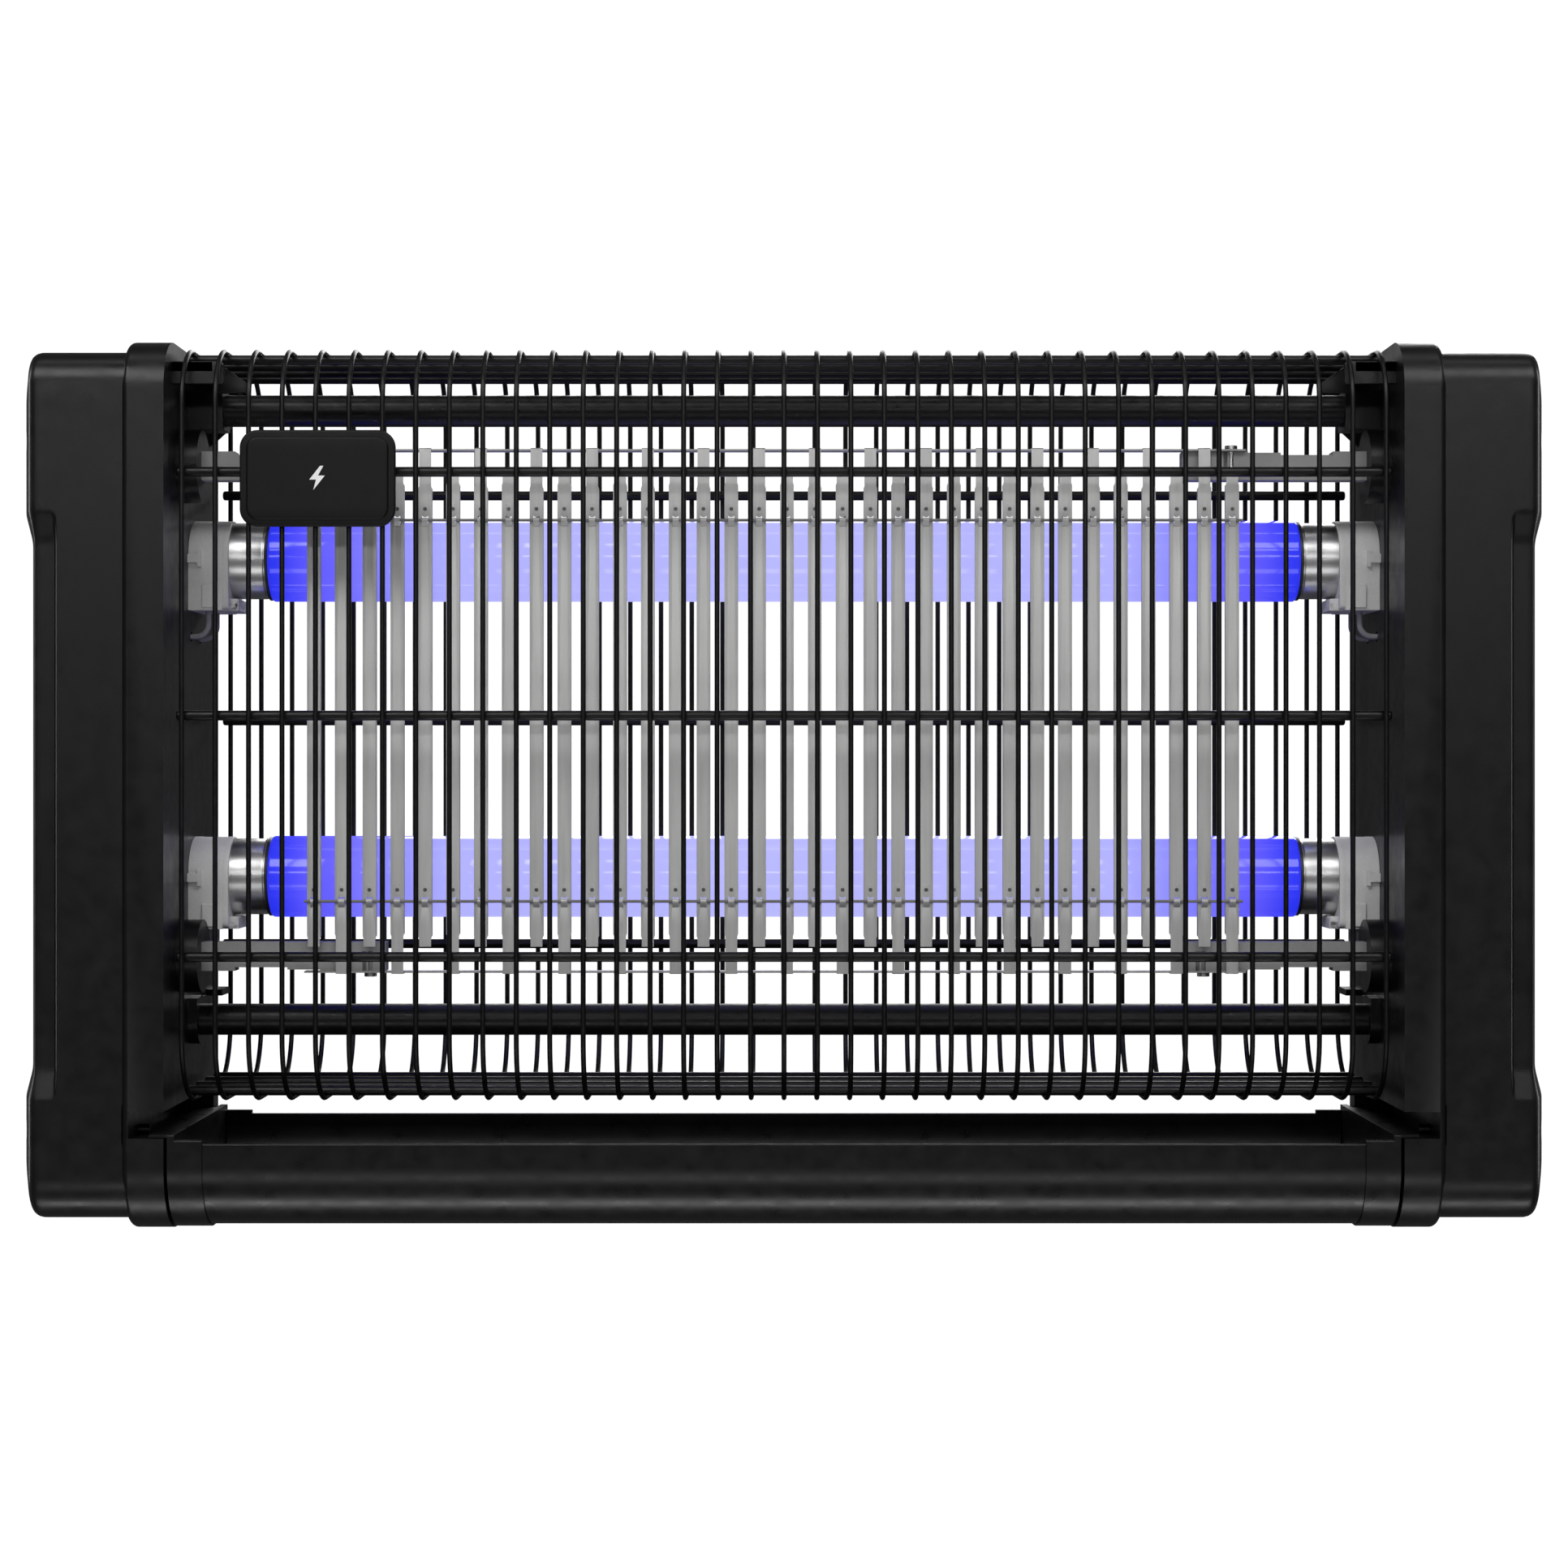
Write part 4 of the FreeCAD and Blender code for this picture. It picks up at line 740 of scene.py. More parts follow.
def wire_tree():
    """A row of wires along X: the carrier's closed line, made round and repeated."""
    tree, ids = new_tree("wire_row", [
        ("Wire radius", "Float", 0.001), ("Sides", "Int", 12), ("Count", "Int", 2),
        ("Start", "Vector", None), ("Step", "Vector", None), ("Finish", "Material", None),
    ])
    nodes = tree.nodes
    start = nodes.new("NodeGroupInput")
    end = nodes.new("NodeGroupOutput")
    line = nodes.new("GeometryNodeMeshToCurve")
    circle = nodes.new("GeometryNodeCurvePrimitiveCircle")
    skin = nodes.new("GeometryNodeCurveToMesh")
    shade = nodes.new("GeometryNodeSetShadeSmooth")
    row = nodes.new("GeometryNodeMeshLine")
    place = nodes.new("GeometryNodeInstanceOnPoints")
    real = nodes.new("GeometryNodeRealizeInstances")
    coat = nodes.new("GeometryNodeSetMaterial")
    wired(tree, [
        (start, "Geometry", line, 0),
        (start, "Sides", circle, "Resolution"),
        (start, "Wire radius", circle, "Radius"),
        (line, 0, skin, "Curve"),
        (circle, 0, skin, "Profile Curve"),
        (skin, 0, shade, "Geometry"),
        (start, "Count", row, "Count"),
        (start, "Start", row, "Start Location"),
        (start, "Step", row, "Offset"),
        (row, 0, place, "Points"),
        (shade, 0, place, "Instance"),
        (place, 0, real, 0),
        (real, 0, coat, "Geometry"),
        (start, "Finish", coat, "Material"),
        (coat, 0, end, 0),
    ])
    return tree, ids


# ---------------------------------------------------------------- guard

WIRE_D = 1.55 * MM
WIRE_COUNT = 37
WIRE_SIDES = 14
WIRE_TOP_R = 18.0 * MM
WIRE_BOTTOM_R = 20.0 * MM
ROD_D = 3.0 * MM
ROD_NOSE = 0.7 * MM
WELD_SINK = 0.03 * MM
NUGGET_HALF = (0.95 * MM, 0.80 * MM, 0.42 * MM)
SIDE_ROD_Z = (228.0 * MM, 155.0 * MM, 82.7 * MM)
END_ROD_Y = (-22.0 * MM, -7.3 * MM, 7.3 * MM, 22.0 * MM)
GUARD_LOW, GUARD_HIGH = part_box("guard_hoops")
WIRE_Y = GUARD_HIGH.y - WIRE_D / 2
WIRE_Z = (GUARD_LOW.z + WIRE_D / 2, GUARD_HIGH.z - WIRE_D / 2)
WIRE_X0 = GUARD_LOW.x + WIRE_D / 2
WIRE_PITCH = (GUARD_HIGH.x - GUARD_LOW.x - WIRE_D) / (WIRE_COUNT - 1)


def guard_hoops():
    radii = (WIRE_BOTTOM_R, WIRE_BOTTOM_R, WIRE_TOP_R, WIRE_TOP_R)
    loop = rounded_loop((-WIRE_Y, WIRE_Y), WIRE_Z, radii, 12)
    line = bpy.data.meshes.new("hoop_line")
    edges = [(i, (i + 1) % len(loop)) for i in range(len(loop))]
    line.from_pydata([(0.0, y, z) for y, z in loop], edges, [])
    mesh = grown("guard_hoops", line, *wire_tree(), {
        "Wire radius": WIRE_D / 2,
        "Sides": WIRE_SIDES,
        "Count": WIRE_COUNT,
        "Start": (WIRE_X0, 0.0, 0.0),
        "Step": (WIRE_PITCH, 0.0, 0.0),
        "Finish": MATERIALS["coated_wire"],
    })
    to_object("wire_hoops", mesh, None, "housing", ("guard_hoops",))


def rod_places():
    """Where the rods run: (y, z, the direction from the rod's middle to the wire)."""
    inside = WIRE_D / 2 + ROD_D / 2 - WELD_SINK
    places = []
    for z in SIDE_ROD_Z:
        for side in (-1.0, 1.0):
            places.append((side * (WIRE_Y - inside), z, (side, 0.0)))
    for y in END_ROD_Y:
        places.append((y, WIRE_Z[1] - inside, (0.0, 1.0)))
        places.append((y, WIRE_Z[0] + inside, (0.0, -1.0)))
    return places


def guard_rods():
    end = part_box("guard_rods")[1].x
    r = ROD_D / 2
    profile = [(-end, 0.0), (-end, r - ROD_NOSE)]
    profile += [(-end + ROD_NOSE - ROD_NOSE * math.cos(a), r - ROD_NOSE + ROD_NOSE * math.sin(a))
                for a in angles(30, 60, 90)]
    profile += [(-x, radius) for x, radius in reversed(profile)]
    rod = smooth(lathe_x("rod", profile, 0.0, 0.0, 24), 50.0)
    places = [(0.0, y, z) for y, z, _ in rod_places()]
    mesh = repeated("rods", rod, places, "coated_wire")
    to_object("long_rods", mesh, None, "housing", ("guard_rods",))


def weld_marks():
    """The small flattened nugget where each wire is resistance-welded to a rod."""
    work = bmesh.new()
    bmesh.ops.create_icosphere(work, subdivisions=2, radius=1.0)
    for vert in work.verts:
        vert.co = [distance * half for distance, half in zip(vert.co, NUGGET_HALF)]
    nugget = bpy.data.meshes.new("nugget")
    work.to_mesh(nugget)
    work.free()
    smooth(nugget, 180.0)
    places = []
    turns = []
    for y, z, (dy, dz) in rod_places():
        reach = ROD_D / 2 - 0.02 * MM
        for i in range(WIRE_COUNT):
            places.append((WIRE_X0 + i * WIRE_PITCH, y + dy * reach, z + dz * reach))
            turns.append((math.atan2(-dy, dz), 0.0, 0.0))
    mesh = repeated("welds", nugget, places, "coated_wire", turns)
    to_object("weld_nuggets", mesh, None, "housing")


guard_hoops()
guard_rods()
weld_marks()


# ---------------------------------------------------------------- killing grid

STRIP_PITCH = 8.5 * MM
STRIP_COUNT = 34
STRIP_T = 0.3 * MM
STRIP_END_W = 3.64 * MM
STRIP_BODY_W = 4.16 * MM
STRIP_FLANGE = 1.6 * MM
TAB_DEPTH = 5.0 * MM
STRIP_BODY_Z = {"a": (87.8 * MM, 225.0 * MM), "b": (88.5 * MM, 226.0 * MM)}
SPACER_D = 0.9 * MM
CLIP_W = 1.8 * MM
CLIP_T = 0.35 * MM
WINDOW_W = 1.85 * MM
WINDOW_RISE = 1.55 * MM
WINDOW_DROP = 1.75 * MM
WINDOW_CORNER = 0.35 * MM
WINDOW_TONGUE = 0.55 * MM
RIB_Z = (1.9 * MM, 5.3 * MM)
RIVET_RISE = 3.5 * MM


def spacer_heights():
    return [box_middle(level + "_spacer_rod")[2] for level in ("lower", "upper")]


def clip_window(z):
    """The hole that a clip is lanced from, with a rounded lower end and a tongue above."""
    half = WINDOW_W / 2
    top = z + WINDOW_RISE
    bottom = z - WINDOW_DROP
    corner = WINDOW_CORNER
    loop = arc((half - corner, bottom + corner), corner, 0, -90, 4)
    loop += arc((-half + corner, bottom + corner), corner, -90, -180, 4)
    loop += [(-half, top)]
    loop += [(half * math.cos(a), top - WINDOW_TONGUE * math.sin(a))
             for a in angles(165, 150, 120, 90, 60, 30, 15)]
    loop += [(half, top)]
    return loop


def strip_outline(low, high, body):
    """The strip's face: narrow ends, and a wider body with small sloping shoulders."""
    end = STRIP_END_W / 2
    wide = STRIP_BODY_W / 2
    slope = 0.5 * MM
    right = [(end, low), (end, body[0] - slope), (wide, body[0] + slope / 2)]
    right += [(wide, body[1] - slope / 2), (end, body[1] + slope), (end, high)]
    return right + [(-u, v) for u, v in reversed(right)]


def folded_edge(side, body):
    """The edge folded back along the body, with a rounded fold: side is -1 or 1."""
    wide = STRIP_BODY_W / 2
    fold = 0.55 * MM
    outer = arc((wide - fold, fold - STRIP_T), fold, -90, 0, 4) + [(wide, STRIP_FLANGE)]
    inner = [(wide - STRIP_T, STRIP_FLANGE)] + arc(
        (wide - fold, fold - STRIP_T), fold - STRIP_T, 0, -90, 4)
    section = [(side * u, v) for u, v in outer + inner]
    ends = (body[0] + 0.25 * MM, body[1] - 0.25 * MM)
    return prism("fold", *([(u, v, z) for u, v in section] for z in ends))


def rod_clip(z):
    """The tongue lanced from the strip, bent forward over a spacer rod."""
    reach = SPACER_D / 2 + 0.02 * MM
    middle = -STRIP_T - reach
    half = CLIP_W / 2
    outer = reach + CLIP_T
    front = [(-STRIP_T * 0.5, -1.85 * MM), (-STRIP_T - 0.12 * MM, -1.80 * MM)]
    front += [(middle - 0.2 * MM, -1.25 * MM)]
    front += [(middle - outer * math.cos(a), outer * math.sin(a))
              for a in angles(-50, -25, 0, 25, 50, 75)]
    tip = [(middle + 0.05 * MM, 0.84 * MM), (middle + 0.25 * MM, 0.55 * MM)]
    back = [(middle - reach * math.cos(a), reach * math.sin(a))
            for a in angles(70, 45, 15, -15, -45, -75)]
    back += [(middle + 0.15 * MM, -1.1 * MM), (-STRIP_T * 0.5, -1.55 * MM)]
    section = front + tip + back
    return prism("clip", *([(x, y, z + h) for y, h in section] for x in (-half, half)))


def grid_strip(group, low, high):
    """One strip about X = 0 and Y = 0, the back of its face at Y = 0."""
    body = STRIP_BODY_Z[group]
    loops = [strip_outline(low, high, body)]
    spacers = spacer_heights()
    loops += [clip_window(z) for z in spacers]
    face = plate("face", loops, STRIP_T, 0.07 * MM, FACING_FRONT, 1)
    parts = [face, folded_edge(-1.0, body), folded_edge(1.0, body)]
    parts += [rod_clip(z) for z in spacers]
    for z in spacers:
        outline = rounded_loop(
            (-CLIP_W / 2, CLIP_W / 2), (z + RIB_Z[0], z + RIB_Z[1]), (0.2 * MM,) * 4, 3)
        rib = plate("rib", [outline], 0.12 * MM, 0.05 * MM, FACING_FRONT, 1)
        shift(rib, (0.0, -STRIP_T + 0.06 * MM, 0.0))
        parts.append(rib)
    tab_z = (high - STRIP_T, high) if group == "a" else (low, low + STRIP_T)
    end = STRIP_END_W / 2
    tab = plate("tab", [rounded_loop((-end, end), (-STRIP_T, TAB_DEPTH), (0.02 * MM,) * 4, 2)],
                STRIP_T, 0.05 * MM, FACING_UP, 1)
    shift(tab, (0.0, 0.0, tab_z[0]))
    parts.append(tab)
    return smooth(joined("strip", parts), 40.0)


def grid_set(group):
    low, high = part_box("grid_strips_" + group)
    x0 = low.x + STRIP_BODY_W / 2
    back = high.y - TAB_DEPTH
    strip = grid_strip(group, low.z, high.z)
    places = [(x0 + i * 2 * STRIP_PITCH, back, 0.0) for i in range(STRIP_COUNT // 2)]
    mesh = repeated("strips_" + group, strip, places, "grid_steel")
    steps = [(0.0, 0.0), (0.0, 0.60), (0.10, 0.60), (0.16, 0.50), (0.10, 0.30), (0.09, 0.0)]
    peg = lathe_x("peg", [(x * MM, radius * MM) for x, radius in steps], 0.0, 0.0, 16)
    peg.transform(Matrix.Rotation(-math.pi / 2, 4, "Z"))
    smooth(peg, 50.0)
    # Small domed pegs at each strip's pressed dimple, in a dark finish: painted shade for the shadow in the
    # dimple.
    rivet_places = [(x, back - STRIP_T - 0.04 * MM, z + RIVET_RISE)
                    for x, _, _ in places for z in spacer_heights()]
    rivets = repeated("rivets_" + group, peg, rivet_places, "rivet_dark")
    to_object("strip_rivets_" + group, rivets, None, "housing")
    to_object("metal_strips_" + group, mesh, None, "housing", ("grid_strips_" + group,))


grid_set("a")
grid_set("b")


# ---------------------------------------------------------------- outer covers

COVER_ROOT_X = 197.4 * MM
COVER_HALF_Y = 43.0 * MM
COVER_BOTTOM_R = 13.0 * MM
COVER_TOP_R = 10.0 * MM
COVER_CORNER_X = 7.5 * MM
COVER_CORNER_Z = 12.0 * MM
COVER_WALL = 4.4 * MM
RELIEF_X = 217.3 * MM
RELIEF_DEPTH = 2.0 * MM
RELIEF_Z = (39.6 * MM, 216.6 * MM)
RELIEF_LIP = 2.0 * MM
RELIEF_FACE = 5.3 * MM
RELIEF_FOOT = 3.6 * MM
RELIEF_CORNER = 3.4 * MM
RELIEF_SIDE = 1.1 * MM
RAMP_MIDDLE = 5.0 * MM
RAMP_ZONE = 8.0 * MM
RAMP_STEP = 0.6 * MM
PLAIN_STEP = 4.0 * MM
COVER_SCREW_YZ = [(y * MM, z * MM) for z in (30.0, 238.0) for y in (-28.0, 28.0)]
BOSS_R = 4.6 * MM
SEAT_R = 3.4 * MM
HOLE_R = 1.8 * MM
ROOM_TIP_X = 221.0 * MM
ROOM_BOTTOM_R = 12.6 * MM
ROOM_TOP_R = 8.6 * MM
COVER_SEAT_X = 206.0 * MM
COVER_LOW, COVER_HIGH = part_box("right_outer_cover")
COVER_TIP_X = COVER_HIGH.x
SIDE_PROFILE = [
    (-7.0, 0.0), (-6.0, 0.17), (-5.2, 0.6), (-4.6, 1.2), (-4.2, 2.0), (-4.0, 2.8), (-3.2, 5.6),
    (-2.4, 8.4), (-1.6, 11.1), (-0.9, 13.6), (-0.4, 16.0), (-0.1, 19.0), (0.0, 23.0),
]


def ease(t):
    t = max(0.0, min(1.0, t))
    return t * t * (3 - 2 * t)


def ramp_depth(s):
    """How deep the grip is, from 0 to 1, at s along from its rounded lip: lip, straight face, foot."""
    whole = RELIEF_LIP / 2 + RELIEF_FACE + RELIEF_FOOT / 2
    if s <= 0:
        return 0.0
    if s < RELIEF_LIP:
        return s * s / (2 * RELIEF_LIP) / whole
    if s < RELIEF_LIP + RELIEF_FACE:
        return (s - RELIEF_LIP / 2) / whole
    rest = RELIEF_LIP + RELIEF_FACE + RELIEF_FOOT - s
    if rest <= 0:
        return 1.0
    return 1.0 - rest * rest / (2 * RELIEF_FOOT) / whole


def relief_at(x, z):
    """How deep the shallow grip is at this place on the cover, from 0 to 1."""
    inside = min(z - RELIEF_Z[0], RELIEF_Z[1] - z)
    across = x - RELIEF_X + RELIEF_SIDE / 2
    near = across
    if across < RELIEF_CORNER and inside < RELIEF_CORNER:
        near = RELIEF_CORNER - math.hypot(RELIEF_CORNER - across, RELIEF_CORNER - inside)
    return ease(near / RELIEF_SIDE) * ramp_depth(inside)


def side_set_back(x):
    """How far the side of the cover has turned in from its full depth at x, and its slope angle."""
    place = (x - COVER_TIP_X) / MM
    before = SIDE_PROFILE[0]
    if place <= before[0]:
        return 0.0, 0.0
    for after in SIDE_PROFILE[1:]:
        if place <= after[0] + 1e-6:
            t = (place - before[0]) / (after[0] - before[0])
            back = before[1] + (after[1] - before[1]) * t
            return back * MM, math.atan2(after[1] - before[1], after[0] - before[0])
        before = after
    return SIDE_PROFILE[-1][1] * MM, math.pi / 2


def cover_outline(x, heights):
    """Half of the cover's section at x: points (y, z) up the front, from the bottom middle."""
    t = max(0.0, (x - (COVER_TIP_X - COVER_CORNER_X)) / COVER_CORNER_X)
    round_off = 1.0 - math.sqrt(max(0.0, 1.0 - t * t))
    half = COVER_HALF_Y - side_set_back(x)[0]
    low = COVER_LOW.z + COVER_CORNER_Z * round_off
    high = COVER_HIGH.z - COVER_CORNER_Z * round_off
    bottom_r = COVER_BOTTOM_R - 3.0 * MM * round_off
    top_r = COVER_TOP_R - 2.0 * MM * round_off
    points = [(-f * (half - bottom_r), low) for f in (0.0, 0.35, 0.7)]
    points += arc((-half + bottom_r, low + bottom_r), bottom_r, 270, 180, 12)
    inner_low = low + bottom_r
    inner_high = high - top_r
    for z in heights:
        points.append((-half, min(max(z, inner_low + 0.01 * MM), inner_high - 0.01 * MM)))
    points += arc((-half + top_r, high - top_r), top_r, 180, 90, 12)
    points += [(-f * (half - top_r), high) for f in (0.7, 0.35, 0.0)]
    return points


def cover_skin():
    """The crowned outer skin of the right-hand cover, closed at its root, with the grip relief."""
    heights = []
    z = 20.0 * MM
    while z < 250.0 * MM:
        heights.append(z)
        ramps = (RELIEF_Z[0] + RAMP_MIDDLE, RELIEF_Z[1] - RAMP_MIDDLE)
        z += RAMP_STEP if any(abs(z - middle) < RAMP_ZONE for middle in ramps) else PLAIN_STEP
    stations = [COVER_ROOT_X + d * MM for d in (-1.0, 4.0, 8.0, 12.0, 15.0, 17.5)]
    stations += [RELIEF_X + d * MM for d in (-0.9, -0.55, -0.4, -0.25, -0.1, 0.05, 0.2, 0.35, 0.55)]
    stations += [RELIEF_X + d * MM for d in (1.0, 1.6, 2.3, 3.2, 4.4)]
    stations += [COVER_TIP_X + place * MM for place, _ in SIDE_PROFILE]
    rows = []
    verts = []
    for x in stations:
        row = []
        slope = side_set_back(x)[1]
        for y, z in cover_outline(x, heights):
            depth = RELIEF_DEPTH * relief_at(x, z)
            row.append(len(verts))
            verts.append((x - depth * math.sin(slope), y + depth * math.cos(slope), z))
        rows.append(row)
    faces = []
    for i in range(len(rows) - 1):
        for j in range(len(rows[0]) - 1):
            faces.append((rows[i][j], rows[i][j + 1], rows[i + 1][j + 1], rows[i + 1][j]))
    base = len(verts)
    verts += [(x, -y, z) for x, y, z in verts]
    faces += [tuple(base + k for k in reversed(face)) for face in faces]
    for row in (rows[0], rows[-1]):
        for j in range(len(row) - 1):
            faces.append((row[j], row[j + 1], base + row[j + 1], base + row[j]))
    mesh = bpy.data.meshes.new("cover_skin")
    mesh.from_pydata(verts, [], faces)
    work = bmesh.new()
    work.from_mesh(mesh)
    bmesh.ops.remove_doubles(work, verts=work.verts, dist=1e-6)
    bmesh.ops.dissolve_degenerate(work, edges=work.edges, dist=MERGE)
    work.to_mesh(mesh)
    work.free()
    return outward(mesh)


def block(name, x, y, z):
    """A straight block, used to cut or fill a shell."""
    loop = rounded_loop(y, z, (0.01 * MM,) * 4, 4)
    mesh = plate(name, [loop], x[1] - x[0], 0.0, FACING_RIGHT, 0)
    shift(mesh, (x[0], 0.0, 0.0))
    return mesh


def peg_x(name, x, y, z, radius):
    """A solid round peg along X."""
    profile = [(x[0], 0.0), (x[0], radius), (x[1], radius), (x[1], 0.0)]
    return lathe_x(name, profile, y, z, 32)


def cut_and_fill(name, mesh, steps):
    """mesh after a list of ("DIFFERENCE" or "UNION", tool mesh) steps."""
    for i, (operation, tool) in enumerate(steps):
        other = bpy.data.objects.new(f"{name}_tool_{i}", tool)
        SCENE.collection.objects.link(other)

        def setup(carrier, operation=operation, other=other):
            modifier = carrier.modifiers.new("cut", "BOOLEAN")
            modifier.operation = operation
            modifier.object = other
            modifier.solver = "EXACT"

        mesh = applied(f"{name}_{i}", mesh, setup)
        bpy.data.objects.remove(other)
    return mesh


PANEL_X = (199.5 * MM, 214.5 * MM)
PANEL_Y = 40.5 * MM
PANEL_Z = (48.0 * MM, 112.0 * MM)
INLET_HALF = (6.6 * MM, 11.0 * MM)


def outer_cover(with_panel):
    inside = (COVER_ROOT_X - 2 * MM, ROOM_TIP_X)
    wall = COVER_WALL
    outline = rounded_loop(
        (-COVER_HALF_Y + wall, COVER_HALF_Y - wall), (COVER_LOW.z + wall, COVER_HIGH.z - wall),
        (ROOM_BOTTOM_R, ROOM_BOTTOM_R, ROOM_TOP_R, ROOM_TOP_R))
    room = plate("room", [outline], inside[1] - inside[0], 0.0, FACING_RIGHT, 0)
    shift(room, (inside[0], 0.0, 0.0))
    steps = [("DIFFERENCE", room)]
    seat = COVER_SEAT_X
    for y, z in COVER_SCREW_YZ:
        steps += [
            ("UNION", peg_x("boss", (seat - 6 * MM, inside[1] + MM), y, z, BOSS_R)),
            ("DIFFERENCE", peg_x("seat", (seat, COVER_TIP_X + MM), y, z, SEAT_R)),
            ("DIFFERENCE", peg_x("hole", (seat - 7 * MM, seat + MM), y, z, HOLE_R)),
        ]
    if with_panel:
        pad = block(
            "pad", (PANEL_X[0] - MM, PANEL_X[1] + 2 * MM), (PANEL_Y - 4.5 * MM, COVER_HALF_Y - MM),
            (PANEL_Z[0] - 2 * MM, PANEL_Z[1] + 2 * MM))
        steps.append(("UNION", pad))
        pocket = block("pocket", PANEL_X, (PANEL_Y, COVER_HALF_Y + MM), PANEL_Z)
        steps.append(("DIFFERENCE", pocket))
        low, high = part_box("switch_housing")
        lip = 0.8 * MM
        opening = block("switch_cut", (low.x + lip, high.x - lip), (PANEL_Y - 8 * MM, PANEL_Y + MM),
                        (low.z + lip, high.z - lip))
        steps.append(("DIFFERENCE", opening))
        x, _, z = box_middle("mains_inlet")
        half_x, half_z = INLET_HALF
        oval = rounded_loop(
            (x - half_x, x + half_x), (z - half_z, z + half_z), (half_x - 0.01 * MM,) * 4)
        hole = plate("inlet_cut", [oval], 9 * MM, 0.0, FACING_FRONT, 0)
        shift(hole, (0.0, PANEL_Y + MM, 0.0))
        steps.append(("DIFFERENCE", hole))
    return smooth(cut_and_fill("cover", cover_skin(), steps), 32.0)


COVERS = {"right": outer_cover(True), "left": mirrored_x(outer_cover(False))}
for side, cover in COVERS.items():
    to_object(side + "_cover", cover, "cover_black", "housing",
              (side + "_outer_cover",))


# ---------------------------------------------------------------- badge

BADGE_RIM_T = 2.1 * MM
BADGE_RIM_R = 5.2 * MM
BADGE_PAD_T = 1.7 * MM
BADGE_PAD_R = 3.4 * MM
BADGE_PAD_INSET = 2.0 * MM
BADGE_PAD_RISE = 0.6 * MM
HOOK_X = (-155.0 * MM, -125.0 * MM)
HOOK_W = 4.0 * MM
HOOK_T = 1.2 * MM


def badge_hook(x, root_y):
    """The leg that runs back from the plate at root_y and hooks over the upper front rod."""
    rod_y = rod_places()[0][0]
    rod_z = SIDE_ROD_Z[0]
    inner = ROD_D / 2 + 0.2 * MM
    outer = inner + HOOK_T
    loop = [(root_y, rod_z + inner), (rod_y, rod_z + inner)]
    loop += [(rod_y + inner * math.sin(a), rod_z + inner * math.cos(a)) for a in angles(30, 60, 90)]
    loop += [(rod_y + inner, rod_z - 0.6 * MM), (rod_y + outer, rod_z - 0.6 * MM)]
    loop += [(rod_y + outer * math.sin(a), rod_z + outer * math.cos(a)) for a in angles(90, 60, 30)]
    loop += [(rod_y, rod_z + outer), (root_y, rod_z + outer)]
    hook = plate("hook", [loop], HOOK_W, 0.2 * MM, FACING_RIGHT, 2)
    shift(hook, (x - HOOK_W / 2, 0.0, 0.0))
    return hook


def badge():
    low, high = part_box("badge")
    front = low.y
    back = front + BADGE_PAD_RISE + BADGE_RIM_T
    inset = BADGE_PAD_INSET
    outline = rounded_loop((low.x, high.x), (low.z, high.z), (BADGE_RIM_R,) * 4)
    rim = plate("rim", [outline], BADGE_RIM_T, 0.55 * MM, FACING_FRONT, 4)
    shift(rim, (0.0, back, 0.0))
    outline = rounded_loop(
        (low.x + inset, high.x - inset), (low.z + inset, high.z - inset), (BADGE_PAD_R,) * 4)
    pad = plate("pad", [outline], BADGE_PAD_T, 0.75 * MM, FACING_FRONT, 5)
    shift(pad, (0.0, front + BADGE_PAD_T, 0.0))
    hooks = [badge_hook(x, back - 0.5 * MM) for x in HOOK_X]
    to_object("name_plate", smooth(joined("badge", [rim, pad, *hooks]), 40.0), "badge_black", "housing",
              ("badge",))
    x, _, z = box_middle("badge")
    bolt = [(0.9, 3.6), (-2.3, -0.5), (-0.3, -0.5), (-1.1, -3.6), (2.3, 0.7), (0.3, 0.7), (1.9, 3.6)]
    bolt = [(x + u * MM, z + v * MM) for u, v in bolt]
    mark = plate("mark", [bolt], 0.10 * MM, 0.03 * MM, FACING_FRONT, 1)
    shift(mark, (0.0, front + 0.05 * MM, 0.0))
    to_object("plate_symbol", mark, "print_white", "housing")


badge()


# ---------------------------------------------------------------- lamps

HOLDER_R = 12.5 * MM
HOLDER_FOOT = 15.6 * MM
HOLDER_FOOT_R = 1.6 * MM
TOE_W = 19.0 * MM
COLLAR_X = (172.3 * MM, 174.3 * MM)
FOOT_X = 169.6 * MM


def holder_collar(level):
    """The thin wall of each holder that stands over the end of the lamp's cap, and its foot."""
    low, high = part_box(level + "_lamp_caps")
    _, y, z = box_middle(level + "_lamp_caps")
    hole = (high.z - low.z) / 2 + 0.06 * MM
    corner = HOLDER_FOOT_R
    outer = arc((y, z), HOLDER_R, 180, 0, 28)
    outer += arc((y + HOLDER_R - corner, z - HOLDER_FOOT + corner), corner, 0, -90, 5)
    outer += arc((y - HOLDER_R + corner, z - HOLDER_FOOT + corner), corner, -90, -180, 5)
    bore = arc((y, z), hole, 0, 360, 48)[:-1]
    wall = plate("wall", [outer, bore], COLLAR_X[1] - COLLAR_X[0], 0.25 * MM, FACING_RIGHT, 2)
    shift(wall, (COLLAR_X[0], 0.0, 0.0))
    foot_z = (z - 16.0 * MM, z - hole - 0.3 * MM)
    outline = rounded_loop((FOOT_X, COLLAR_X[1]), foot_z, (1.2 * MM, 0.2 * MM, 0.2 * MM, 0.6 * MM))
    toe = plate("toe", [outline], TOE_W, 0.2 * MM, FACING_FRONT, 2)
    shift(toe, (0.0, y + TOE_W / 2, 0.0))
    both = both_ends(level + "_collars", joined(level + "_collar", [wall, toe]))
    to_object(level + "_holder_collars", smooth(both, 40.0), "holder_grey", "housing")


CAP_START_X = 161.0 * MM
CAP_ROLL = 1.3 * MM
CAP_BORE_R = 3.0 * MM
RING_STEPS = [(160.25, 11.3), (160.25, 12.1), (160.6, 12.35), (161.15, 12.35), (161.35, 12.0),
              (161.35, 11.3)]


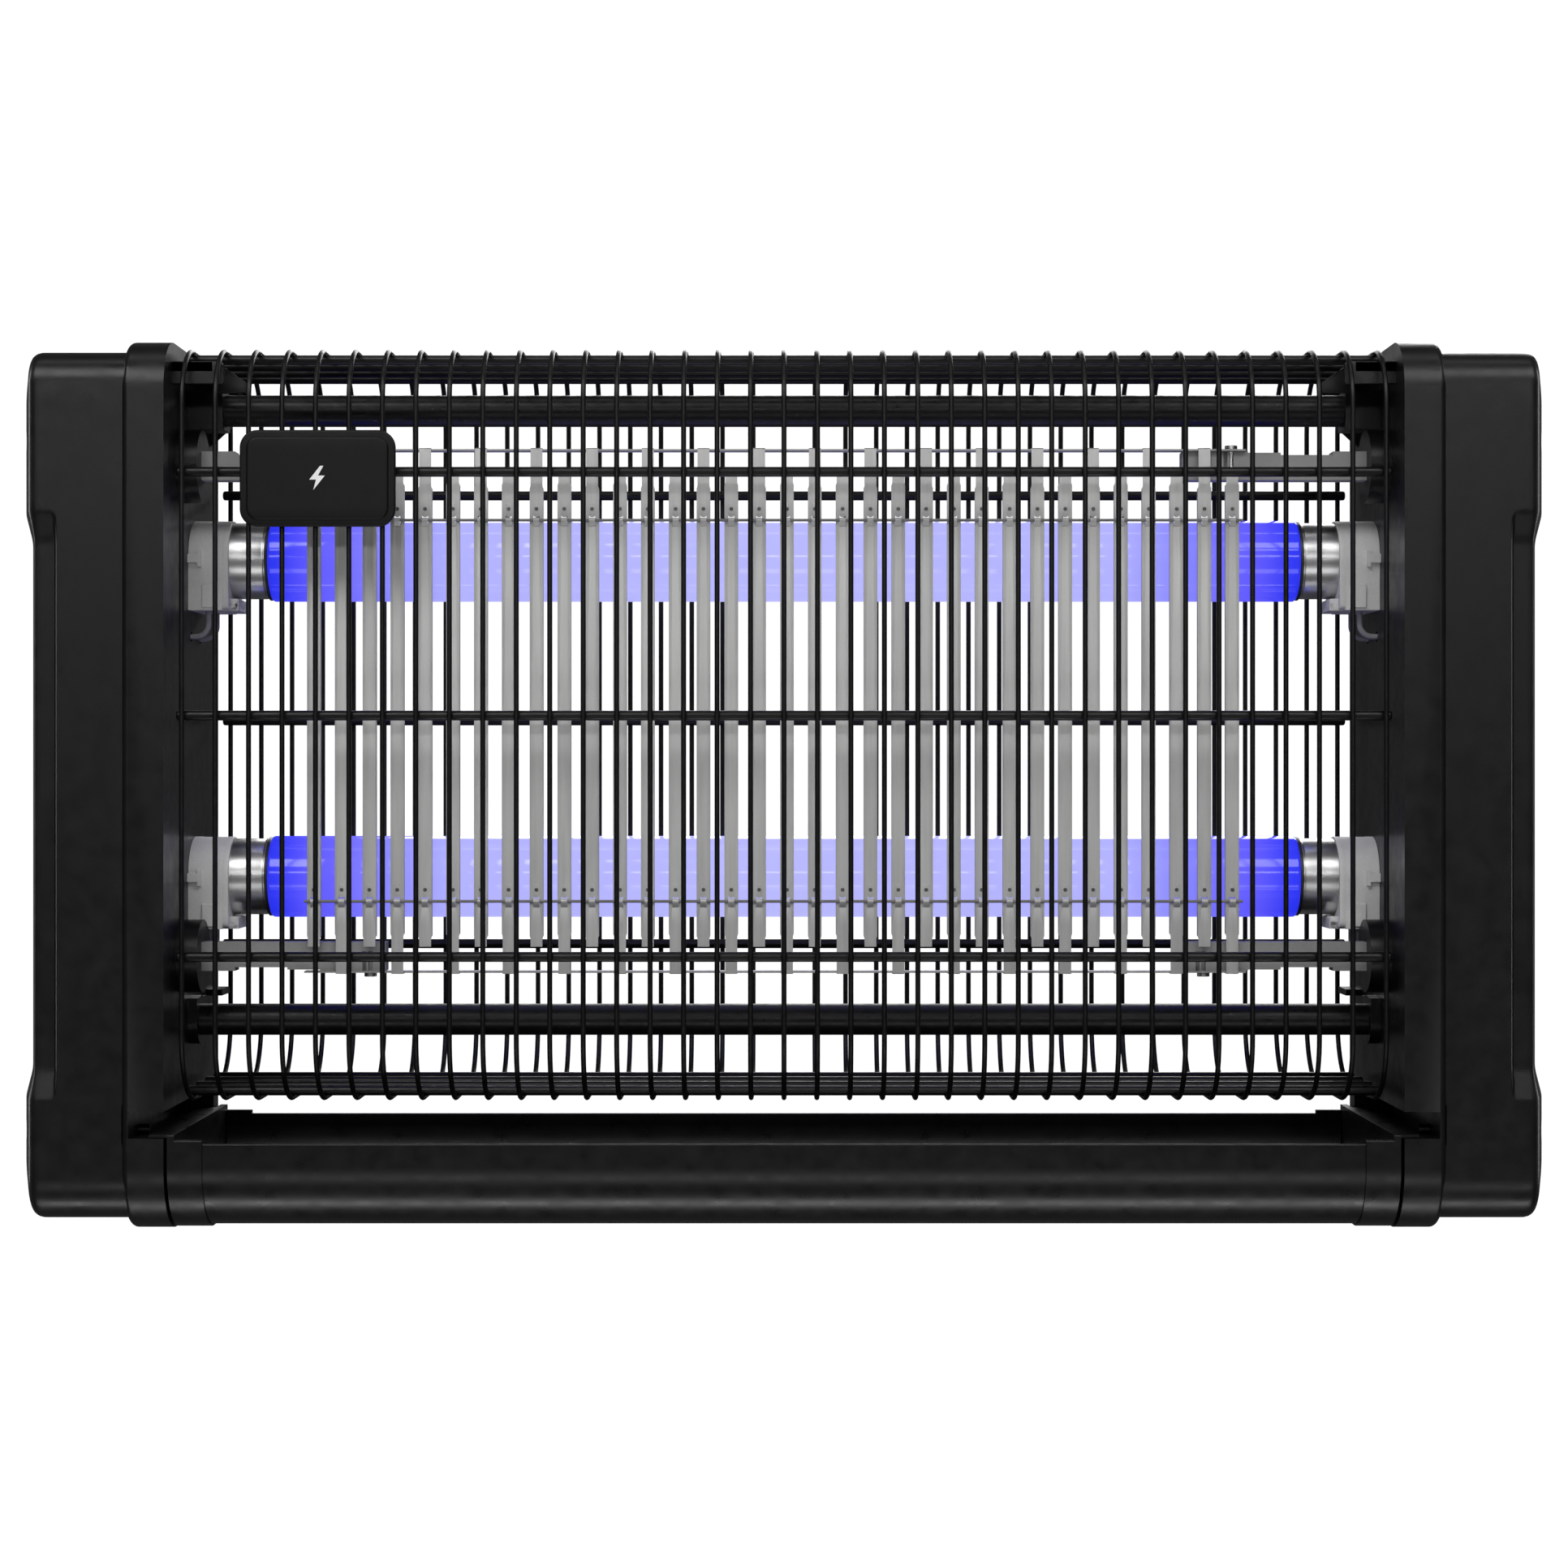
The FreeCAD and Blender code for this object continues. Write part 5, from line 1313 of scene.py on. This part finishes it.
def lamp_caps(level):
    """The plated cap at each end of a lamp, its insulating disc, and the dark ring at its root."""
    low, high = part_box(level + "_lamp_caps")
    _, y, z = box_middle(level + "_lamp_caps")
    r = (high.z - low.z) / 2
    tip = high.x
    start = CAP_START_X
    profile = [(start, r - 0.5 * MM), (start, r - 0.15 * MM), (start + 0.15 * MM, r + 0.02 * MM)]
    profile += [(start + 0.7 * MM, r + 0.02 * MM), (start + 0.95 * MM, r - 0.12 * MM), (start + 1.3 * MM, r)]
    profile += [(tip - 1.5 * MM, r)]
    profile += [(tip - CAP_ROLL + CAP_ROLL * math.sin(a), r - CAP_ROLL + CAP_ROLL * math.cos(a))
                for a in angles(15, 30, 45, 60, 75, 90)]
    profile += [(tip, CAP_BORE_R), (tip - 0.5 * MM, CAP_BORE_R), (tip - 0.5 * MM, r - 1.4 * MM)]
    profile += [(tip - 1.4 * MM, r - 0.5 * MM)]
    cap = smooth(lathe_x("cap", profile, y, z, 72), 50.0)
    disc_x = (tip - 0.45 * MM, tip - 0.05 * MM)
    disc = peg_x("insulator_disc", disc_x, y, z, CAP_BORE_R + 0.2 * MM)
    both = smooth(both_ends(level + "_caps", cap, disc), 50.0)
    to_object(level + "_end_caps", both, "cap_metal", level + "_lamp",
              (level + "_lamp_caps",))
    ring = lathe_x("ring", [(x * MM, radius * MM) for x, radius in RING_STEPS], y, z, 72)
    rings = both_ends(level + "_rings", smooth(ring, 50.0))
    to_object(level + "_collars", rings, "collar_black", level + "_lamp")


for level in ("upper", "lower"):
    lamp_caps(level)
    holder_collar(level)
    for side in ("left", "right"):
        softened(f"{level}_{side}_lamp_holder", 0.28 * MM, "holder_grey", "housing", 3)
        softened(f"{level}_{side}_insulator", 0.25 * MM, "insulator_grey", "housing", 2)


# ---------------------------------------------------------------- end frames and tray

LEDGE_UNDER_Z = 259.1 * MM
WEB_Y = (-31.2 * MM, -29.3 * MM)
WEB_FOOT_Z = 240.0 * MM
WALL_FACE_X = 184.7 * MM
LEDGE_RIB_Y = -17.0 * MM
LEDGE_LIP_Y = -29.4 * MM


def ledge_rib():
    """The small sloping rib at the front of the ledge, clear of the tie tube."""
    points = [(174.0, 261.8), (170.9, 261.8), (164.6, 257.4), (164.6, 254.3), (174.0, 254.0)]
    loop = [(x * MM, z * MM) for x, z in points]
    rib = plate("rib", [loop], 1.4 * MM, 0.15 * MM, FACING_FRONT, 2)
    shift(rib, (0.0, LEDGE_RIB_Y, 0.0))
    return rib


def ledge_face():
    """The turned-down lip along the front of the ledge."""
    loop = rounded_loop(
        (169.2 * MM, 185.0 * MM), (255.3 * MM, 262.1 * MM), (0.4 * MM, 0.1 * MM, 0.1 * MM, 1.6 * MM))
    lip = plate("lip", [loop], 1.6 * MM, 0.25 * MM, FACING_FRONT, 2)
    shift(lip, (0.0, LEDGE_LIP_Y, 0.0))
    return lip


for side in ("left", "right"):
    web = block("web", (165.0 * MM, WALL_FACE_X), WEB_Y, (WEB_FOOT_Z, LEDGE_UNDER_Z))
    added = [ledge_rib(), ledge_face()]
    if side == "left":
        web = mirrored_x(web)
        added = [mirrored_x(part) for part in added]
    softened(side + "_end_frame", 0.4 * MM, "housing_black", "housing", 2,
             steps=[("DIFFERENCE", web)])
    ledge = joined(side + "_ledge", added)
    to_object(side + "_ledge_lip", smooth(ledge, 40.0), "housing_black", "housing")
    softened(side + "_tray_end", 0.2 * MM, "tray_black", "tray", 2)
softened("tray_body", 0.3 * MM, "tray_black", "tray", 2)
